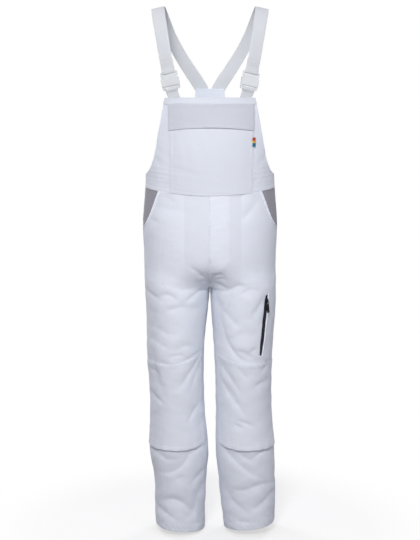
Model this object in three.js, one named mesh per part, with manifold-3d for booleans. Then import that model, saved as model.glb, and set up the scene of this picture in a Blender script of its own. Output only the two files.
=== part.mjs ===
// White bib-and-brace work overalls, hollow and filled out as worn on a general figure.
// Millimetres, +Z up. -Y is the front and +X is the wearer's left.
// The origin lies midway between the braces, at their undersides on top of the shoulders.
import * as THREE from 'three';
import { mergeVertices } from 'three/addons/utils/BufferGeometryUtils.js';
import Module from 'manifold-3d';

// ---------------------------------------------------------------- driving dimensions
const CLOTH = 1.2; // wall of every cloth panel
const GAP = 0.3; // gap at seams and between layers
const WEBBING = 1.6; // thickness of the braces

const BIB_TOP_Z = -250;
const BAND_Z = -267; // lower edge of the band along the bib's top
const FLAP_Z = -340; // lower edge of the pocket flap at its ends
const FLAP_RISE = 8; // how much higher that edge is in the middle
const BAND_TOP_Z = -464; // top of the elastic waistband at the sides and back
const WAIST_Z = -502; // waist seam at the sides
const WAIST_HALF = 185; // half the garment's width at the waist seam
const WAIST_DIP = 17; // how much lower the waist seam is at the centre front
const MOUTH_Z = -619; // where the hip pocket's mouth meets the side seam
const MOUTH_X = 145; // where the hip pocket's mouth starts on the waist seam
const CROTCH_Z = -792;
const FRONT_FORK = 110; // height over which the front turns under to the crotch
const BACK_FORK = 160; // the same for the fuller back
const PATCH_TOP_Z = -1005;
const PATCH_TOP_RISE = 28; // the knee patch reaches higher at the inseam
const PATCH_MIDDLE_Z = -1125;
const PATCH_FOOT_Z = -1260;
const PATCH_FOOT_RISE = 12;
const PATCH_STANDOFF = 4; // how far the patch's lower edge stands off the leg
const SLIT_TOP_Z = -805; // the zipped slit on the left thigh
const SLIT_FOOT_Z = -981;
const SLIT_HALF = 7;
const HEM_Z = -1507; // mean height of the hems
const FLY_FOOT_Z = -740;
const POCKET_HALF_TOP = 118;
const POCKET_HALF_FOOT = 114;
const POCKET_CENTRE_X = 3;
const POCKET_TOP_Z = -292; // the bib pocket's mouth, under the flap
const BACK_TOP_Z = -222;
const BACK_TOP_HALF = 41;

// Torso rings: height, half width, reach to the front and to the back, and centre.
const TORSO = [
  [-200, 160, 98, 106, 0],
  [-250, 172, 108, 111, 0],
  [-311, 176, 117, 116, 0],
  [-366, 179, 123, 118, 0],
  [-422, 181, 126, 118, 0],
  [-464, 183, 126, 118, 0],
  [WAIST_Z, WAIST_HALF, 126, 120, 0],
  [-560, 190, 129, 129, 1],
  [-610, 193, 132, 134, 3],
  [-684, 190, 131, 134, 5],
  [-740, 189, 127, 128, 8],
  [-792, 189.5, 122, 122, 10],
];

// Leg rings: height, distance of the centre from the middle plane, and half width.
const LEG_WIDTH = {
  left: [
    [-620, 96, 95.5],
    [-792, 96, 94.6],
    [-860, 96.5, 92],
    [-978, 97, 85],
    [-1128, 99, 81],
    [-1280, 104, 86],
    [-1372, 110, 83],
    [-1434, 113, 82],
    [-1525, 117, 74],
  ],
  right: [
    [-620, 96, 95.5],
    [-792, 95, 93.8],
    [-860, 97, 89],
    [-978, 101, 83],
    [-1128, 97, 79],
    [-1280, 92, 86],
    [-1372, 88, 76],
    [-1434, 89, 74.5],
    [-1525, 90, 72],
  ],
};

// Leg rings: height, reach to the front and to the back, and centre.
const LEG_DEPTH = [
  [-620, 112, 118, 8],
  [-792, 108, 114, 10],
  [-860, 105, 113, 10],
  [-978, 97, 106, 10],
  [-1128, 87, 94, 11],
  [-1280, 84, 92, 13],
  [-1372, 79, 86, 14],
  [-1434, 76, 80, 15],
  [-1525, 73, 75, 16],
];

// Edges: height and half width of the bib and of the raised back.
const BIB_EDGE = [
  [-250, 125],
  [-283, 132],
  [-338, 143],
  [-394, 154],
  [-430, 163],
  [-450, 172],
  [-464, 183],
];
const BACK_EDGE = [
  [-222, BACK_TOP_HALF],
  [-250, 45],
  [-300, 58],
  [-350, 79],
  [-400, 115],
  [-440, 158],
  [-464, 183],
];

// The largest folds: which side of the cloth, the line from end to end as x and z,
// the half width and the depth. A negative depth stands out as a ridge.
const FOLDS = [
  { face: 'front', line: [[-168, -855], [-120, -885], [-78, -915]], width: 24, depth: 6 },
  { face: 'front', line: [[-150, -905], [-95, -945]], width: 20, depth: -4 },
  { face: 'front', line: [[-62, -722], [-30, -740], [-8, -762]], width: 14, depth: 4 },
  { face: 'front', line: [[-16, -790], [-45, -803], [-80, -824]], width: 11, depth: 6 },
  { face: 'front', line: [[-20, -775], [-70, -788], [-120, -792]], width: 13, depth: -4 },
  { face: 'front', line: [[14, -776], [45, -786], [96, -778]], width: 11, depth: 5 },
  { face: 'front', line: [[74, -812], [110, -795], [148, -800]], width: 12, depth: 4 },
  { face: 'front', line: [[17, -843], [50, -868], [84, -897]], width: 22, depth: 6 },
  { face: 'front', line: [[50, -948], [80, -928], [110, -908]], width: 18, depth: 5 },
  { face: 'front', line: [[-24, -985], [-55, -1030], [-86, -1070]], width: 20, depth: 4 },
  { face: 'front', line: [[32, -1005], [75, -1060], [130, -1105]], width: 22, depth: 4 },
  { face: 'front', line: [[-20, -1262], [-58, -1290], [-95, -1328], [-140, -1336]], width: 18, depth: 7 },
  { face: 'front', line: [[-166, -1285], [-90, -1300]], width: 18, depth: 5 },
  { face: 'front', line: [[38, -1258], [70, -1300], [152, -1348]], width: 20, depth: 7 },
  { face: 'front', line: [[125, -1292], [176, -1275]], width: 14, depth: 4 },
  { face: 'front', line: [[64, -1388], [120, -1372], [180, -1376]], width: 18, depth: 5 },
  { face: 'front', line: [[-145, -1418], [-95, -1410], [-54, -1446]], width: 20, depth: 4 },
  { face: 'back', line: [[-20, -800], [-70, -840], [-150, -862]], width: 18, depth: 7 },
  { face: 'back', line: [[20, -800], [75, -845], [152, -858]], width: 18, depth: 7 },
  { face: 'back', line: [[-30, -870], [-90, -905], [-150, -915]], width: 18, depth: 5 },
  { face: 'back', line: [[32, -880], [95, -915], [150, -930]], width: 18, depth: 5 },
  { face: 'back', line: [[-150, -1060], [-95, -1085], [-40, -1070]], width: 18, depth: 6 },
  { face: 'back', line: [[-145, -1130], [-90, -1140], [-40, -1120]], width: 18, depth: 6 },
  { face: 'back', line: [[45, -1065], [100, -1090], [155, -1075]], width: 18, depth: 6 },
  { face: 'back', line: [[48, -1125], [105, -1150], [150, -1135]], width: 18, depth: 6 },
  { face: 'back', line: [[-150, -1330], [-90, -1350], [-35, -1335]], width: 20, depth: 5 },
  { face: 'back', line: [[60, -1340], [110, -1360], [170, -1345]], width: 20, depth: 5 },
  { face: 'back', line: [[-140, -1430], [-90, -1440], [-45, -1420]], width: 18, depth: 4 },
  { face: 'back', line: [[65, -1425], [115, -1445], [165, -1430]], width: 18, depth: 4 },
];

// Rows of the leg panels by nominal height, closest together where the fork closes.
const LEG_ROWS = [
  WAIST_Z, -530, -560, -586, -603, -613, MOUTH_Z, -650, -682, -706, -724, FLY_FOOT_Z, -755,
  -768, -779, -787, -791, CROTCH_Z, SLIT_TOP_Z, -830, -860, -892, -922, -952, SLIT_FOOT_Z,
  PATCH_TOP_Z, -1040, -1080, PATCH_MIDDLE_Z, -1168, -1205, -1238, PATCH_FOOT_Z, -1290,
  -1325, -1362, -1400, -1440, -1478, HEM_Z,
];
const MOUTH_ROWS = [-586, -603, -613]; // rows that only the pocket's mouth needs
// Columns of the leg panels, from the side seam to the centre and the inseam.
const LEG_COLUMNS = [0, 0.12, 0.25, 0.38, 0.52, 0.65, 0.77, 0.87, 1];
const PATCH_COLUMNS = 7; // the knee patch covers this many of them from the side seam
const SLIT_COLUMN = 2; // the slit runs along this column of the left front

const SIDES = { left: 1, right: -1 };

// ---------------------------------------------------------------- small helpers
const clamp = (value, low, high) => Math.min(Math.max(value, low), high);
const lerp = (a, b, t) => a + (b - a) * t;
const ramp = (from, to, value) => clamp((value - from) / (to - from), 0, 1);
const ease = (t) => t * t * (3 - 2 * t);
const vec = (x, y, z) => new THREE.Vector3(x, y, z);

// A smooth value of every column of a table whose rows run downward in z.
function sectionAt(table, z) {
  const last = table.length - 1;
  if (z >= table[0][0]) return table[0].slice(1);
  if (z <= table[last][0]) return table[last].slice(1);
  let row = 0;
  while (z < table[row + 1][0]) row += 1;
  const span = table[row + 1][0] - table[row][0];
  const t = (z - table[row][0]) / span;
  const slope = (index, column) => {
    const above = table[Math.max(index - 1, 0)];
    const below = table[Math.min(index + 1, last)];
    return (below[column] - above[column]) / (below[0] - above[0]);
  };
  return table[row].slice(1).map((value, index) => {
    const column = index + 1;
    const end = table[row + 1][column];
    const easeIn = slope(row, column) * span;
    const easeOut = slope(row + 1, column) * span;
    const t2 = t * t;
    const t3 = t2 * t;
    return (2 * t3 - 3 * t2 + 1) * value + (t3 - 2 * t2 + t) * easeIn
      + (3 * t2 - 2 * t3) * end + (t3 - t2) * easeOut;
  });
}

// ---------------------------------------------------------------- the worn surface
// u runs from 0 at the side seam to 1 at the centre line above the crotch and to 1 at
// the inseam below it.
function torsoPoint(side, face, u, z) {
  const [halfWidth, front, back, centreY] = sectionAt(TORSO, z);
  const even = (u * Math.PI) / 2;
  const matched = Math.acos(Math.cos(even) ** 2);
  const angle = lerp(even, matched, ease(ramp(WAIST_Z, CROTCH_Z + FRONT_FORK, z)));
  const reach = face === 'front' ? -front : back;
  return vec(SIDES[side] * halfWidth * Math.cos(angle), centreY + reach * Math.sin(angle), z);
}

function legPoint(side, face, u, z) {
  const [centreX, halfWidth] = sectionAt(LEG_WIDTH[side], z);
  const [front, back, centreY] = sectionAt(LEG_DEPTH, z);
  const angle = u * Math.PI;
  const reach = face === 'front' ? -front : back;
  const x = centreX + halfWidth * Math.cos(angle);
  return vec(SIDES[side] * x, centreY + reach * Math.sin(angle), z);
}

// The torso ring opens into two leg rings along a round fork.
function formPoint(side, face, u, z) {
  const forkTop = CROTCH_Z + (face === 'front' ? FRONT_FORK : BACK_FORK);
  if (z >= forkTop) return torsoPoint(side, face, u, z);
  if (z <= CROTCH_Z) return legPoint(side, face, u, z);
  const s = (forkTop - z) / (forkTop - CROTCH_Z);
  const round = 1 - Math.sqrt(1 - s * s);
  const weight = lerp(ease(s) ** 2.5, round, ramp(0.6, 1, u) ** 1.5);
  return torsoPoint(side, face, u, z).lerp(legPoint(side, face, u, z), weight);
}

function normalOf(pointAt, side, face, u, z) {
  const stepU = 0.01;
  const stepZ = 0.5;
  const alongU = pointAt(side, face, Math.min(u + stepU, 1), z)
    .sub(pointAt(side, face, Math.max(u - stepU, 0), z));
  const alongZ = pointAt(side, face, u, z + stepZ).sub(pointAt(side, face, u, z - stepZ));
  const sense = SIDES[side] * (face === 'front' ? 1 : -1);
  return alongZ.cross(alongU).multiplyScalar(sense).normalize();
}

// How far the folds of one face move the cloth in at x and z.
function foldDepth(face, x, z) {
  let depth = 0;
  for (const fold of FOLDS) {
    if (fold.face !== face) continue;
    const pieces = fold.line.length - 1;
    let nearest = Infinity;
    let along = 0;
    for (let k = 0; k < pieces; k += 1) {
      const [x0, z0] = fold.line[k];
      const [dx, dz] = [fold.line[k + 1][0] - x0, fold.line[k + 1][1] - z0];
      const t = clamp(((x - x0) * dx + (z - z0) * dz) / (dx * dx + dz * dz), 0, 1);
      const distance = Math.hypot(x - x0 - t * dx, z - z0 - t * dz);
      if (distance < nearest) {
        nearest = distance;
        along = (k + t) / pieces;
      }
    }
    const taper = Math.sin(Math.PI * (0.15 + 0.7 * along));
    depth += fold.depth * taper * Math.exp(-((nearest / fold.width) ** 2));
  }
  return depth;
}

// The outer surface of the trousers, with its folds fading out at the seams.
function clothPoint(side, face, u, z) {
  const point = formPoint(side, face, u, z);
  const fade = ease(ramp(0, 0.1, u)) * ease(ramp(1, 0.88, u));
  const depth = fade * foldDepth(face, point.x, z);
  if (depth === 0) return point;
  return point.addScaledVector(normalOf(formPoint, side, face, u, z), -depth);
}

// ---------------------------------------------------------------- sheets from grids
// A grid is rows of { point, normal }. The point lies on the cloth's outer surface.
// A sheet is the closed wall between two distances from those points.
function sheetGeometry(grid, lowAt, thickness, keep = () => true, keepClear = null) {
  const rows = grid.length;
  const columns = grid[0].length;
  const positions = [];
  const triangles = [];
  const outerIndex = (i, j) => i * columns + j;
  const innerIndex = (i, j) => rows * columns + i * columns + j;
  const place = (node, distance) => {
    const p = node.point.clone().addScaledVector(node.normal, distance);
    if (keepClear) keepClear(p);
    positions.push(p.x, p.y, p.z);
  };
  for (let i = 0; i < rows; i += 1) {
    for (let j = 0; j < columns; j += 1) place(grid[i][j], lowAt(i, j) + thickness);
  }
  for (let i = 0; i < rows; i += 1) {
    for (let j = 0; j < columns; j += 1) place(grid[i][j], lowAt(i, j));
  }
  const isKept = (i, j) => i >= 0 && j >= 0 && i < rows - 1 && j < columns - 1 && keep(i, j);
  for (let i = 0; i < rows - 1; i += 1) {
    for (let j = 0; j < columns - 1; j += 1) {
      if (!isKept(i, j)) continue;
      const corners = [[i, j], [i, j + 1], [i + 1, j + 1], [i + 1, j]];
      const neighbours = [[i - 1, j], [i, j + 1], [i + 1, j], [i, j - 1]];
      const [a, b, c, d] = corners.map(([row, column]) => outerIndex(row, column));
      const [e, f, g, h] = corners.map(([row, column]) => innerIndex(row, column));
      const across = grid[i][j].point.distanceTo(grid[i + 1][j + 1].point);
      const other = grid[i][j + 1].point.distanceTo(grid[i + 1][j].point);
      if (across <= other) {
        triangles.push(a, b, c, a, c, d, e, g, f, e, h, g);
      } else {
        triangles.push(a, b, d, b, c, d, e, h, f, f, h, g);
      }
      neighbours.forEach(([row, column], k) => {
        if (isKept(row, column)) return;
        const [from, to] = [corners[k], corners[(k + 1) % 4]];
        const [p, q] = [outerIndex(...from), outerIndex(...to)];
        const [r, s] = [innerIndex(...from), innerIndex(...to)];
        triangles.push(q, p, r, q, r, s);
      });
    }
  }
  return closedGeometry(positions, triangles);
}

// Keeps the vertices in use and turns the faces outward.
function closedGeometry(positions, triangles) {
  const used = new Map();
  const kept = [];
  const index = triangles.map((vertex) => {
    if (!used.has(vertex)) {
      used.set(vertex, kept.length / 3);
      kept.push(...positions.slice(3 * vertex, 3 * vertex + 3));
    }
    return used.get(vertex);
  });
  const corner = (k) => vec(kept[3 * index[k]], kept[3 * index[k] + 1], kept[3 * index[k] + 2]);
  let volume = 0;
  for (let k = 0; k < index.length; k += 3) {
    volume += corner(k).dot(corner(k + 1).cross(corner(k + 2)));
  }
  if (volume < 0) {
    for (let k = 0; k < index.length; k += 3) {
      [index[k], index[k + 1]] = [index[k + 1], index[k]];
    }
  }
  const geometry = new THREE.BufferGeometry();
  geometry.setAttribute('position', new THREE.Float32BufferAttribute(kept, 3));
  geometry.setIndex(index);
  return geometry;
}

// The part of a grid between two columns, which may fall between grid columns.
function cutGrid(grid, firstRow, lastRow, firstColumn, lastColumn) {
  const stops = [firstColumn];
  for (let j = Math.floor(firstColumn) + 1; j < lastColumn; j += 1) stops.push(j);
  stops.push(lastColumn);
  return grid.slice(firstRow, lastRow + 1).map((row) => stops.map((stop) => {
    const j = Math.min(Math.floor(stop), row.length - 2);
    const t = stop - j;
    return {
      point: row[j].point.clone().lerp(row[j + 1].point, t),
      normal: row[j].normal.clone().lerp(row[j + 1].normal, t).normalize(),
    };
  }));
}

// ---------------------------------------------------------------- trouser panels
const waistDropAt = (x) => WAIST_DIP * (1 - (x / WAIST_HALF) ** 2);
const hemDropAt = (side, u) => lerp(-8, 12, u) + (side === 'left' ? -3 : 3);

// The real height of a nominal row: the waist seam dips, the patch edges and the hem slant.
function rowHeight(side, face, u, row) {
  const tent = (from, peak, to) => Math.min(ramp(from, peak, row), ramp(to, peak, row));
  let z = row - hemDropAt(side, u) * ramp(PATCH_FOOT_Z - 60, HEM_Z, row);
  if (face === 'front') {
    const x = Math.abs(torsoPoint(side, face, u, WAIST_Z).x);
    z -= waistDropAt(x) * ramp(-650, WAIST_Z, row);
    z += PATCH_TOP_RISE * ease(ramp(0.45, 0.95, u)) * tent(-922, PATCH_TOP_Z, PATCH_MIDDLE_Z);
    z += PATCH_FOOT_RISE * ease(ramp(0.5, 0.95, u)) * tent(PATCH_MIDDLE_Z, PATCH_FOOT_Z, -1440);
  }
  return z;
}

// The outer edge of a front panel: the side seam, and above it the pocket's straight mouth.
function mouthU(z) {
  const share = lerp(1, MOUTH_X / WAIST_HALF, ramp(MOUTH_Z, WAIST_Z, z));
  return (2 / Math.PI) * Math.acos(share);
}

const slitU = (z) => lerp(0.305, 0.25, ramp(SLIT_FOOT_Z, SLIT_TOP_Z, z));
const slitHalfU = (z) => {
  const middle = (SLIT_TOP_Z + SLIT_FOOT_Z) / 2;
  const far = Math.abs(z - middle) / ((SLIT_TOP_Z - SLIT_FOOT_Z) / 2);
  const half = SLIT_HALF * (1 - 0.45 * Math.min(far, 1) ** 4);
  return half / (Math.PI * 95);
};

const SEAM_U = 0.0006; // half the gap at a seam, as u

// Columns of a panel at one height, as values of u.
function columnsAt(side, face, z) {
  const start = face === 'front' ? mouthU(z) : 0;
  const spread = LEG_COLUMNS.map((column) => lerp(start, 1, column));
  spread[0] = Math.max(spread[0], SEAM_U);
  spread[spread.length - 1] = 1 - SEAM_U;
  if (face === 'front' && side === 'left') {
    const middle = lerp(start, 1, slitU(z));
    const half = slitHalfU(z);
    spread.splice(SLIT_COLUMN, 1, middle - half, middle + half);
  }
  return spread;
}

function legGrid(side, face) {
  const rows = LEG_ROWS.filter((row) => face === 'front' || !MOUTH_ROWS.includes(row));
  return rows.map((row) => {
    const us = columnsAt(side, face, row);
    return us.map((u) => {
      const z = rowHeight(side, face, u, row);
      return {
        point: clothPoint(side, face, u, z),
        normal: normalOf(clothPoint, side, face, u, z),
      };
    });
  });
}

// Keeps every point of a leg on its own side of the middle plane.
const clearOfMiddle = (side) => (p) => {
  p.x = SIDES[side] * Math.max(SIDES[side] * p.x, GAP / 2);
};

const rowIndex = (z) => LEG_ROWS.indexOf(z);

// ---------------------------------------------------------------- bib and back
function ringNode(face, x, z) {
  const [halfWidth, front, back, centreY] = sectionAt(TORSO, z);
  const depth = face === 'front' ? front : back;
  const sense = face === 'front' ? -1 : 1;
  const rise = Math.sqrt(Math.max(1 - (x / halfWidth) ** 2, 1e-8));
  const flat = vec(x / halfWidth ** 2, (sense * rise) / depth, 0);
  return { point: vec(x, centreY + sense * depth * rise, z), normal: flat.normalize() };
}

// The x at a share t of the way round the ring from leftX to rightX, in even steps of angle.
function arcX(t, z, leftX, rightX) {
  const [halfWidth] = sectionAt(TORSO, z);
  const from = Math.asin(clamp(leftX / halfWidth, -1, 1));
  const to = Math.asin(clamp(rightX / halfWidth, -1, 1));
  return halfWidth * Math.sin(lerp(from, to, t));
}

const seamClear = (x, halfWidth) => clamp(x, -halfWidth * 0.999999, halfWidth * 0.999999);

// The small tab stands out of the pocket's outer edge, between these heights.
const LABEL_TOP_Z = -357;
const LABEL_FOOT_Z = -382;

// Rows of the bib by nominal height. bibHeight gives the real height at each x.
const BIB_ROWS = [
  BIB_TOP_Z, BAND_Z, POCKET_TOP_Z, -316, FLAP_Z, LABEL_TOP_Z, LABEL_FOOT_Z, -425, -448,
  BAND_TOP_Z, WAIST_Z,
];
const BIB_SIDE_CELLS = 3;
const BIB_POCKET_CELLS = 8;

function bibHeight(row, x) {
  const dip = waistDropAt(x) * ramp(FLAP_Z, WAIST_Z, row);
  const tent = Math.min(ramp(BAND_Z, FLAP_Z, row), ramp(-425, FLAP_Z, row));
  const rise = FLAP_RISE * (1 - (x / POCKET_HALF_TOP) ** 2) * tent;
  return row - dip + Math.max(rise, 0) + (row === WAIST_Z ? GAP + 0.2 : 0);
}

function bibGrid() {
  return BIB_ROWS.map((row) => {
    const [edge] = row <= BAND_TOP_Z ? [sectionAt(TORSO, row)[0]] : sectionAt(BIB_EDGE, row);
    const narrowing = ramp(BIB_TOP_Z, WAIST_Z, row);
    const pocketHalf = lerp(POCKET_HALF_TOP, POCKET_HALF_FOOT, narrowing);
    const stops = [-edge, POCKET_CENTRE_X - pocketHalf, POCKET_CENTRE_X + pocketHalf, edge];
    const xs = [];
    for (let j = 0; j < BIB_SIDE_CELLS; j += 1) {
      xs.push(arcX(j / BIB_SIDE_CELLS, row, stops[0], stops[1]));
    }
    for (let j = 0; j < BIB_POCKET_CELLS; j += 1) {
      xs.push(arcX(j / BIB_POCKET_CELLS, row, stops[1], stops[2]));
    }
    for (let j = 0; j <= BIB_SIDE_CELLS; j += 1) {
      xs.push(arcX(j / BIB_SIDE_CELLS, row, stops[2], stops[3]));
    }
    return xs.map((x) => ringNode('front', seamClear(x, edge), bibHeight(row, x)));
  });
}

const BACK_ROWS = [BACK_TOP_Z, -250, -290, -325, -360, -392, -420, -444, BAND_TOP_Z + GAP];
const BACK_CELLS = 8;

function backGrid() {
  return BACK_ROWS.map((row) => {
    const [edge] = sectionAt(BACK_EDGE, row);
    const nodes = [];
    for (let j = 0; j <= BACK_CELLS; j += 1) {
      nodes.push(ringNode('back', seamClear(arcX(j / BACK_CELLS, row, -edge, edge), edge), row));
    }
    return nodes;
  });
}

const WAISTBAND_CELLS = 14;

function waistbandGrid() {
  return [BAND_TOP_Z, (BAND_TOP_Z + WAIST_Z) / 2, WAIST_Z + GAP].map((row) => {
    const [edge] = sectionAt(TORSO, row);
    const nodes = [];
    for (let j = 0; j <= WAISTBAND_CELLS; j += 1) {
      const x = arcX(j / WAISTBAND_CELLS, row, -edge, edge);
      nodes.push(ringNode('back', seamClear(x, edge), row));
    }
    return nodes;
  });
}

// ---------------------------------------------------------------- layers inside the fronts
// The u at which a front panel reaches a distance x from the middle plane.
function uAtX(side, x, z) {
  let [low, high] = [0, 1];
  for (let k = 0; k < 30; k += 1) {
    const middle = (low + high) / 2;
    if (SIDES[side] * formPoint(side, 'front', middle, z).x > x) low = middle;
    else high = middle;
  }
  return (low + high) / 2;
}

function frontNode(side, u, row) {
  const z = rowHeight(side, 'front', u, row);
  return {
    point: clothPoint(side, 'front', u, z),
    normal: normalOf(clothPoint, side, 'front', u, z),
  };
}

const FACING_DEPTH = CLOTH + 1.5; // its outer face lies this far in
const BAG_DEPTH = FACING_DEPTH + CLOTH + 1.2;
const FLY_DEPTH = CLOTH + 1.4;
const LINING = 1; // wall of the pocket bags and the fly facing
const BAG_SEAM_U = 0.03; // the bags start this far from the side seam, as u

function facingGrid(side) {
  const rows = LEG_ROWS.slice(0, rowIndex(MOUTH_Z) + 1);
  return rows.map((row) => {
    const mouth = Math.max(mouthU(row), BAG_SEAM_U);
    const under = lerp(mouthU(row), 1, LEG_COLUMNS[1]);
    return [SEAM_U, mouth / 3, (2 * mouth) / 3, mouth, under].map((u) => frontNode(side, u, row));
  });
}

const BAG_EDGE_X = { left: 88, right: 73 };
const BAG_FOOT_Z = -768;
const BAG_CELLS = 5;

function bagGrid(side) {
  const rows = LEG_ROWS.slice(1, rowIndex(BAG_FOOT_Z) + 1);
  return rows.filter((row) => !MOUTH_ROWS.includes(row)).map((row) => {
    const inner = uAtX(side, BAG_EDGE_X[side], row);
    const nodes = [];
    for (let j = 0; j <= BAG_CELLS; j += 1) {
      nodes.push(frontNode(side, lerp(BAG_SEAM_U, inner, j / BAG_CELLS), row));
    }
    return nodes;
  });
}

const FLY_WIDTH = 55;
const FLY_BEND_Z = -690; // where the fly's stitched edge starts to curve to the centre

function flyGrid() {
  const rows = LEG_ROWS.slice(0, rowIndex(FLY_FOOT_Z) + 1);
  return rows.filter((row) => !MOUTH_ROWS.includes(row)).map((row) => {
    const far = ramp(FLY_BEND_Z, FLY_FOOT_Z, row);
    const width = Math.max(FLY_WIDTH * Math.sqrt(1 - far * far), 8);
    return [width, (2 * width) / 3, width / 3, 1].map((x) => {
      return frontNode('left', uAtX('left', x, row), row);
    });
  });
}

// ---------------------------------------------------------------- braces and buckles
const BUCKLE_CENTRE = vec(110.5, -80.5, -203);
const BUCKLE_UP = vec(0.19, 0.04, 1).normalize();
const BUCKLE_OUT = vec(0.4, -0.91, 0.1)
  .addScaledVector(BUCKLE_UP, -vec(0.4, -0.91, 0.1).dot(BUCKLE_UP)).normalize();
const BUCKLE_ACROSS = BUCKLE_UP.clone().cross(BUCKLE_OUT);
const BRACE_WIDTH = 38;
const TAB_WIDTH = 35;

const buckleHalf = { width: 25, height: 25, thick: 4.5, bar: 2 };
const slot = { near: 16.5, far: 21, brace: 20.8, tab: 18.8 };
const JOINT_V = 10; // the base's mouth, where the two halves of the buckle meet

// A point in the buckle's own plane: v up along the brace, n out from the chest.
const atBuckle = (v, n) => BUCKLE_CENTRE.clone()
  .addScaledVector(BUCKLE_UP, v).addScaledVector(BUCKLE_OUT, n);

// The webbing's centre line round a bar, from the layer behind to the layer in front.
const wrap = (tail, spread, sense) => [
  [tail, -0.95], [spread, -1.2], [27, -3.2], [23.4, -3.5], [20.2, -2.9], [18.7, 0], [20.2, 2.9],
  [23.4, 3.5], [27, 3.2], [spread, 1.2],
].map(([v, n]) => atBuckle(sense * v, n));

// Turns centre points and rough widthways directions into stations of a strip.
function stationsOf(centres, across) {
  return centres.map((centre, k) => {
    const before = centres[Math.max(k - 1, 0)];
    const after = centres[Math.min(k + 1, centres.length - 1)];
    const along = after.clone().sub(before).normalize();
    const out = across[k].clone().cross(along).normalize();
    return { centre, out, across: along.cross(out) };
  });
}

function stripGeometry(stations, width, thickness, side) {
  const mirror = (p) => vec(SIDES[side] * p.x, p.y, p.z);
  const grid = stations.map(({ centre, out, across }) => [-0.5, 0.5].map((k) => ({
    point: mirror(centre.clone().addScaledVector(across, k * width)),
    normal: mirror(out),
  })));
  return sheetGeometry(grid, () => -thickness / 2, thickness);
}

// Over the shoulder: the centre line and the widthways direction at each point.
const SHOULDER_ROUTE = [
  { centre: atBuckle(64, 1), across: BUCKLE_ACROSS },
  { centre: vec(130, -68, -97), across: vec(0.93, 0.33, -0.2) },
  { centre: vec(138, -46, -49), across: vec(0.95, 0.25, -0.2) },
  { centre: vec(144, -21, -13.5), across: vec(0.97, 0.1, -0.2) },
  { centre: vec(146, 2, 0.8), across: vec(0.98, 0, -0.2) },
  { centre: vec(141.5, 27, -8), across: vec(0.96, -0.16, -0.24) },
  { centre: vec(130, 52, -36), across: vec(0.91, -0.34, -0.3) },
  { centre: vec(111, 74, -80), across: vec(0.84, -0.46, -0.36) },
  { centre: vec(84, 92, -130), across: vec(0.85, -0.4, -0.42) },
  { centre: vec(55, 103, -175), across: vec(0.88, -0.24, -0.42) },
  { centre: vec(34, 109, -206), across: vec(0.93, -0.09, -0.36) },
];
const BRACE_END = [
  { centre: vec(24.5, 110.2, -223), across: vec(1, -0.09, -0.12) },
  { centre: vec(21.6, 110.4, -238), across: vec(1, -0.09, 0) },
];
const SHOULDER_STEPS = 2; // stations for each stretch of the route

function braceGeometry(side) {
  const route = [...SHOULDER_ROUTE, ...BRACE_END];
  const curve = new THREE.CatmullRomCurve3(route.map((stop) => stop.centre), false, 'centripetal');
  const centres = [];
  const across = [];
  const loop = wrap(60, 38, 1);
  loop.forEach((centre) => {
    centres.push(centre);
    across.push(BUCKLE_ACROSS);
  });
  const steps = (route.length - 1) * SHOULDER_STEPS;
  for (let k = 0; k <= steps; k += 1) {
    const t = k / steps;
    const stretch = Math.min(Math.floor(t * (route.length - 1)), route.length - 2);
    const within = t * (route.length - 1) - stretch;
    centres.push(curve.getPoint(t));
    across.push(route[stretch].across.clone().lerp(route[stretch + 1].across, within));
  }
  return stripGeometry(stationsOf(centres, across), BRACE_WIDTH, WEBBING, side);
}

// The short webbing comes up from inside the bib, round the base's bar and back.
const TAB_SEAT = { x: 100.5, depth: CLOTH + 4 };
const TAB_FOOT_Z = -280;

function tabGeometry(side) {
  const seat = (z, layer) => {
    const node = ringNode('front', TAB_SEAT.x - 0.1 * (BIB_TOP_Z - z), z);
    return node.point.addScaledVector(node.normal, -TAB_SEAT.depth - layer * (WEBBING + GAP));
  };
  const front = [seat(TAB_FOOT_Z, 0), seat(BIB_TOP_Z - 6, 0)];
  const back = [seat(TAB_FOOT_Z, 1), seat(BIB_TOP_Z - 6, 1)];
  const loop = wrap(34, 31, -1).slice(1);
  const centres = [...back, ...loop, ...front.reverse()];
  const seatAcross = vec(0.9, 0.42, -0.1);
  const across = centres.map((_, k) => {
    const inBib = k < 2 || k >= centres.length - 2;
    return (inBib ? seatAcross : BUCKLE_ACROSS).clone().multiplyScalar(-1);
  });
  return stripGeometry(stationsOf(centres, across), TAB_WIDTH, WEBBING, side);
}

function extrudeBetween(shape, low, high, bevel = 0) {
  const geometry = new THREE.ExtrudeGeometry(shape, {
    depth: high - low - 2 * bevel,
    bevelEnabled: bevel > 0,
    bevelThickness: bevel,
    bevelSize: bevel,
    bevelOffset: -bevel,
    bevelSegments: 1,
    curveSegments: 4,
    steps: 1,
  });
  geometry.translate(0, 0, low + bevel);
  return geometry;
}

function roundedRect(left, foot, right, top, radius) {
  const shape = new THREE.Shape();
  shape.moveTo(left + radius, foot);
  shape.lineTo(right - radius, foot);
  shape.absarc(right - radius, foot + radius, radius, -Math.PI / 2, 0);
  shape.lineTo(right, top - radius);
  shape.absarc(right - radius, top - radius, radius, 0, Math.PI / 2);
  shape.lineTo(left + radius, top);
  shape.absarc(left + radius, top - radius, radius, Math.PI / 2, Math.PI);
  shape.lineTo(left, foot + radius);
  shape.absarc(left + radius, foot + radius, radius, Math.PI, 1.5 * Math.PI);
  return shape;
}

const wasm = await Module();
wasm.setup();

function toSolid(geometry) {
  const bare = geometry.clone();
  for (const name of Object.keys(bare.attributes)) {
    if (name !== 'position') bare.deleteAttribute(name);
  }
  const merged = mergeVertices(bare, 1e-4);
  return new wasm.Manifold(new wasm.Mesh({
    numProp: 3,
    vertProperties: new Float32Array(merged.attributes.position.array),
    triVerts: new Uint32Array(merged.index.array),
  }));
}

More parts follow.
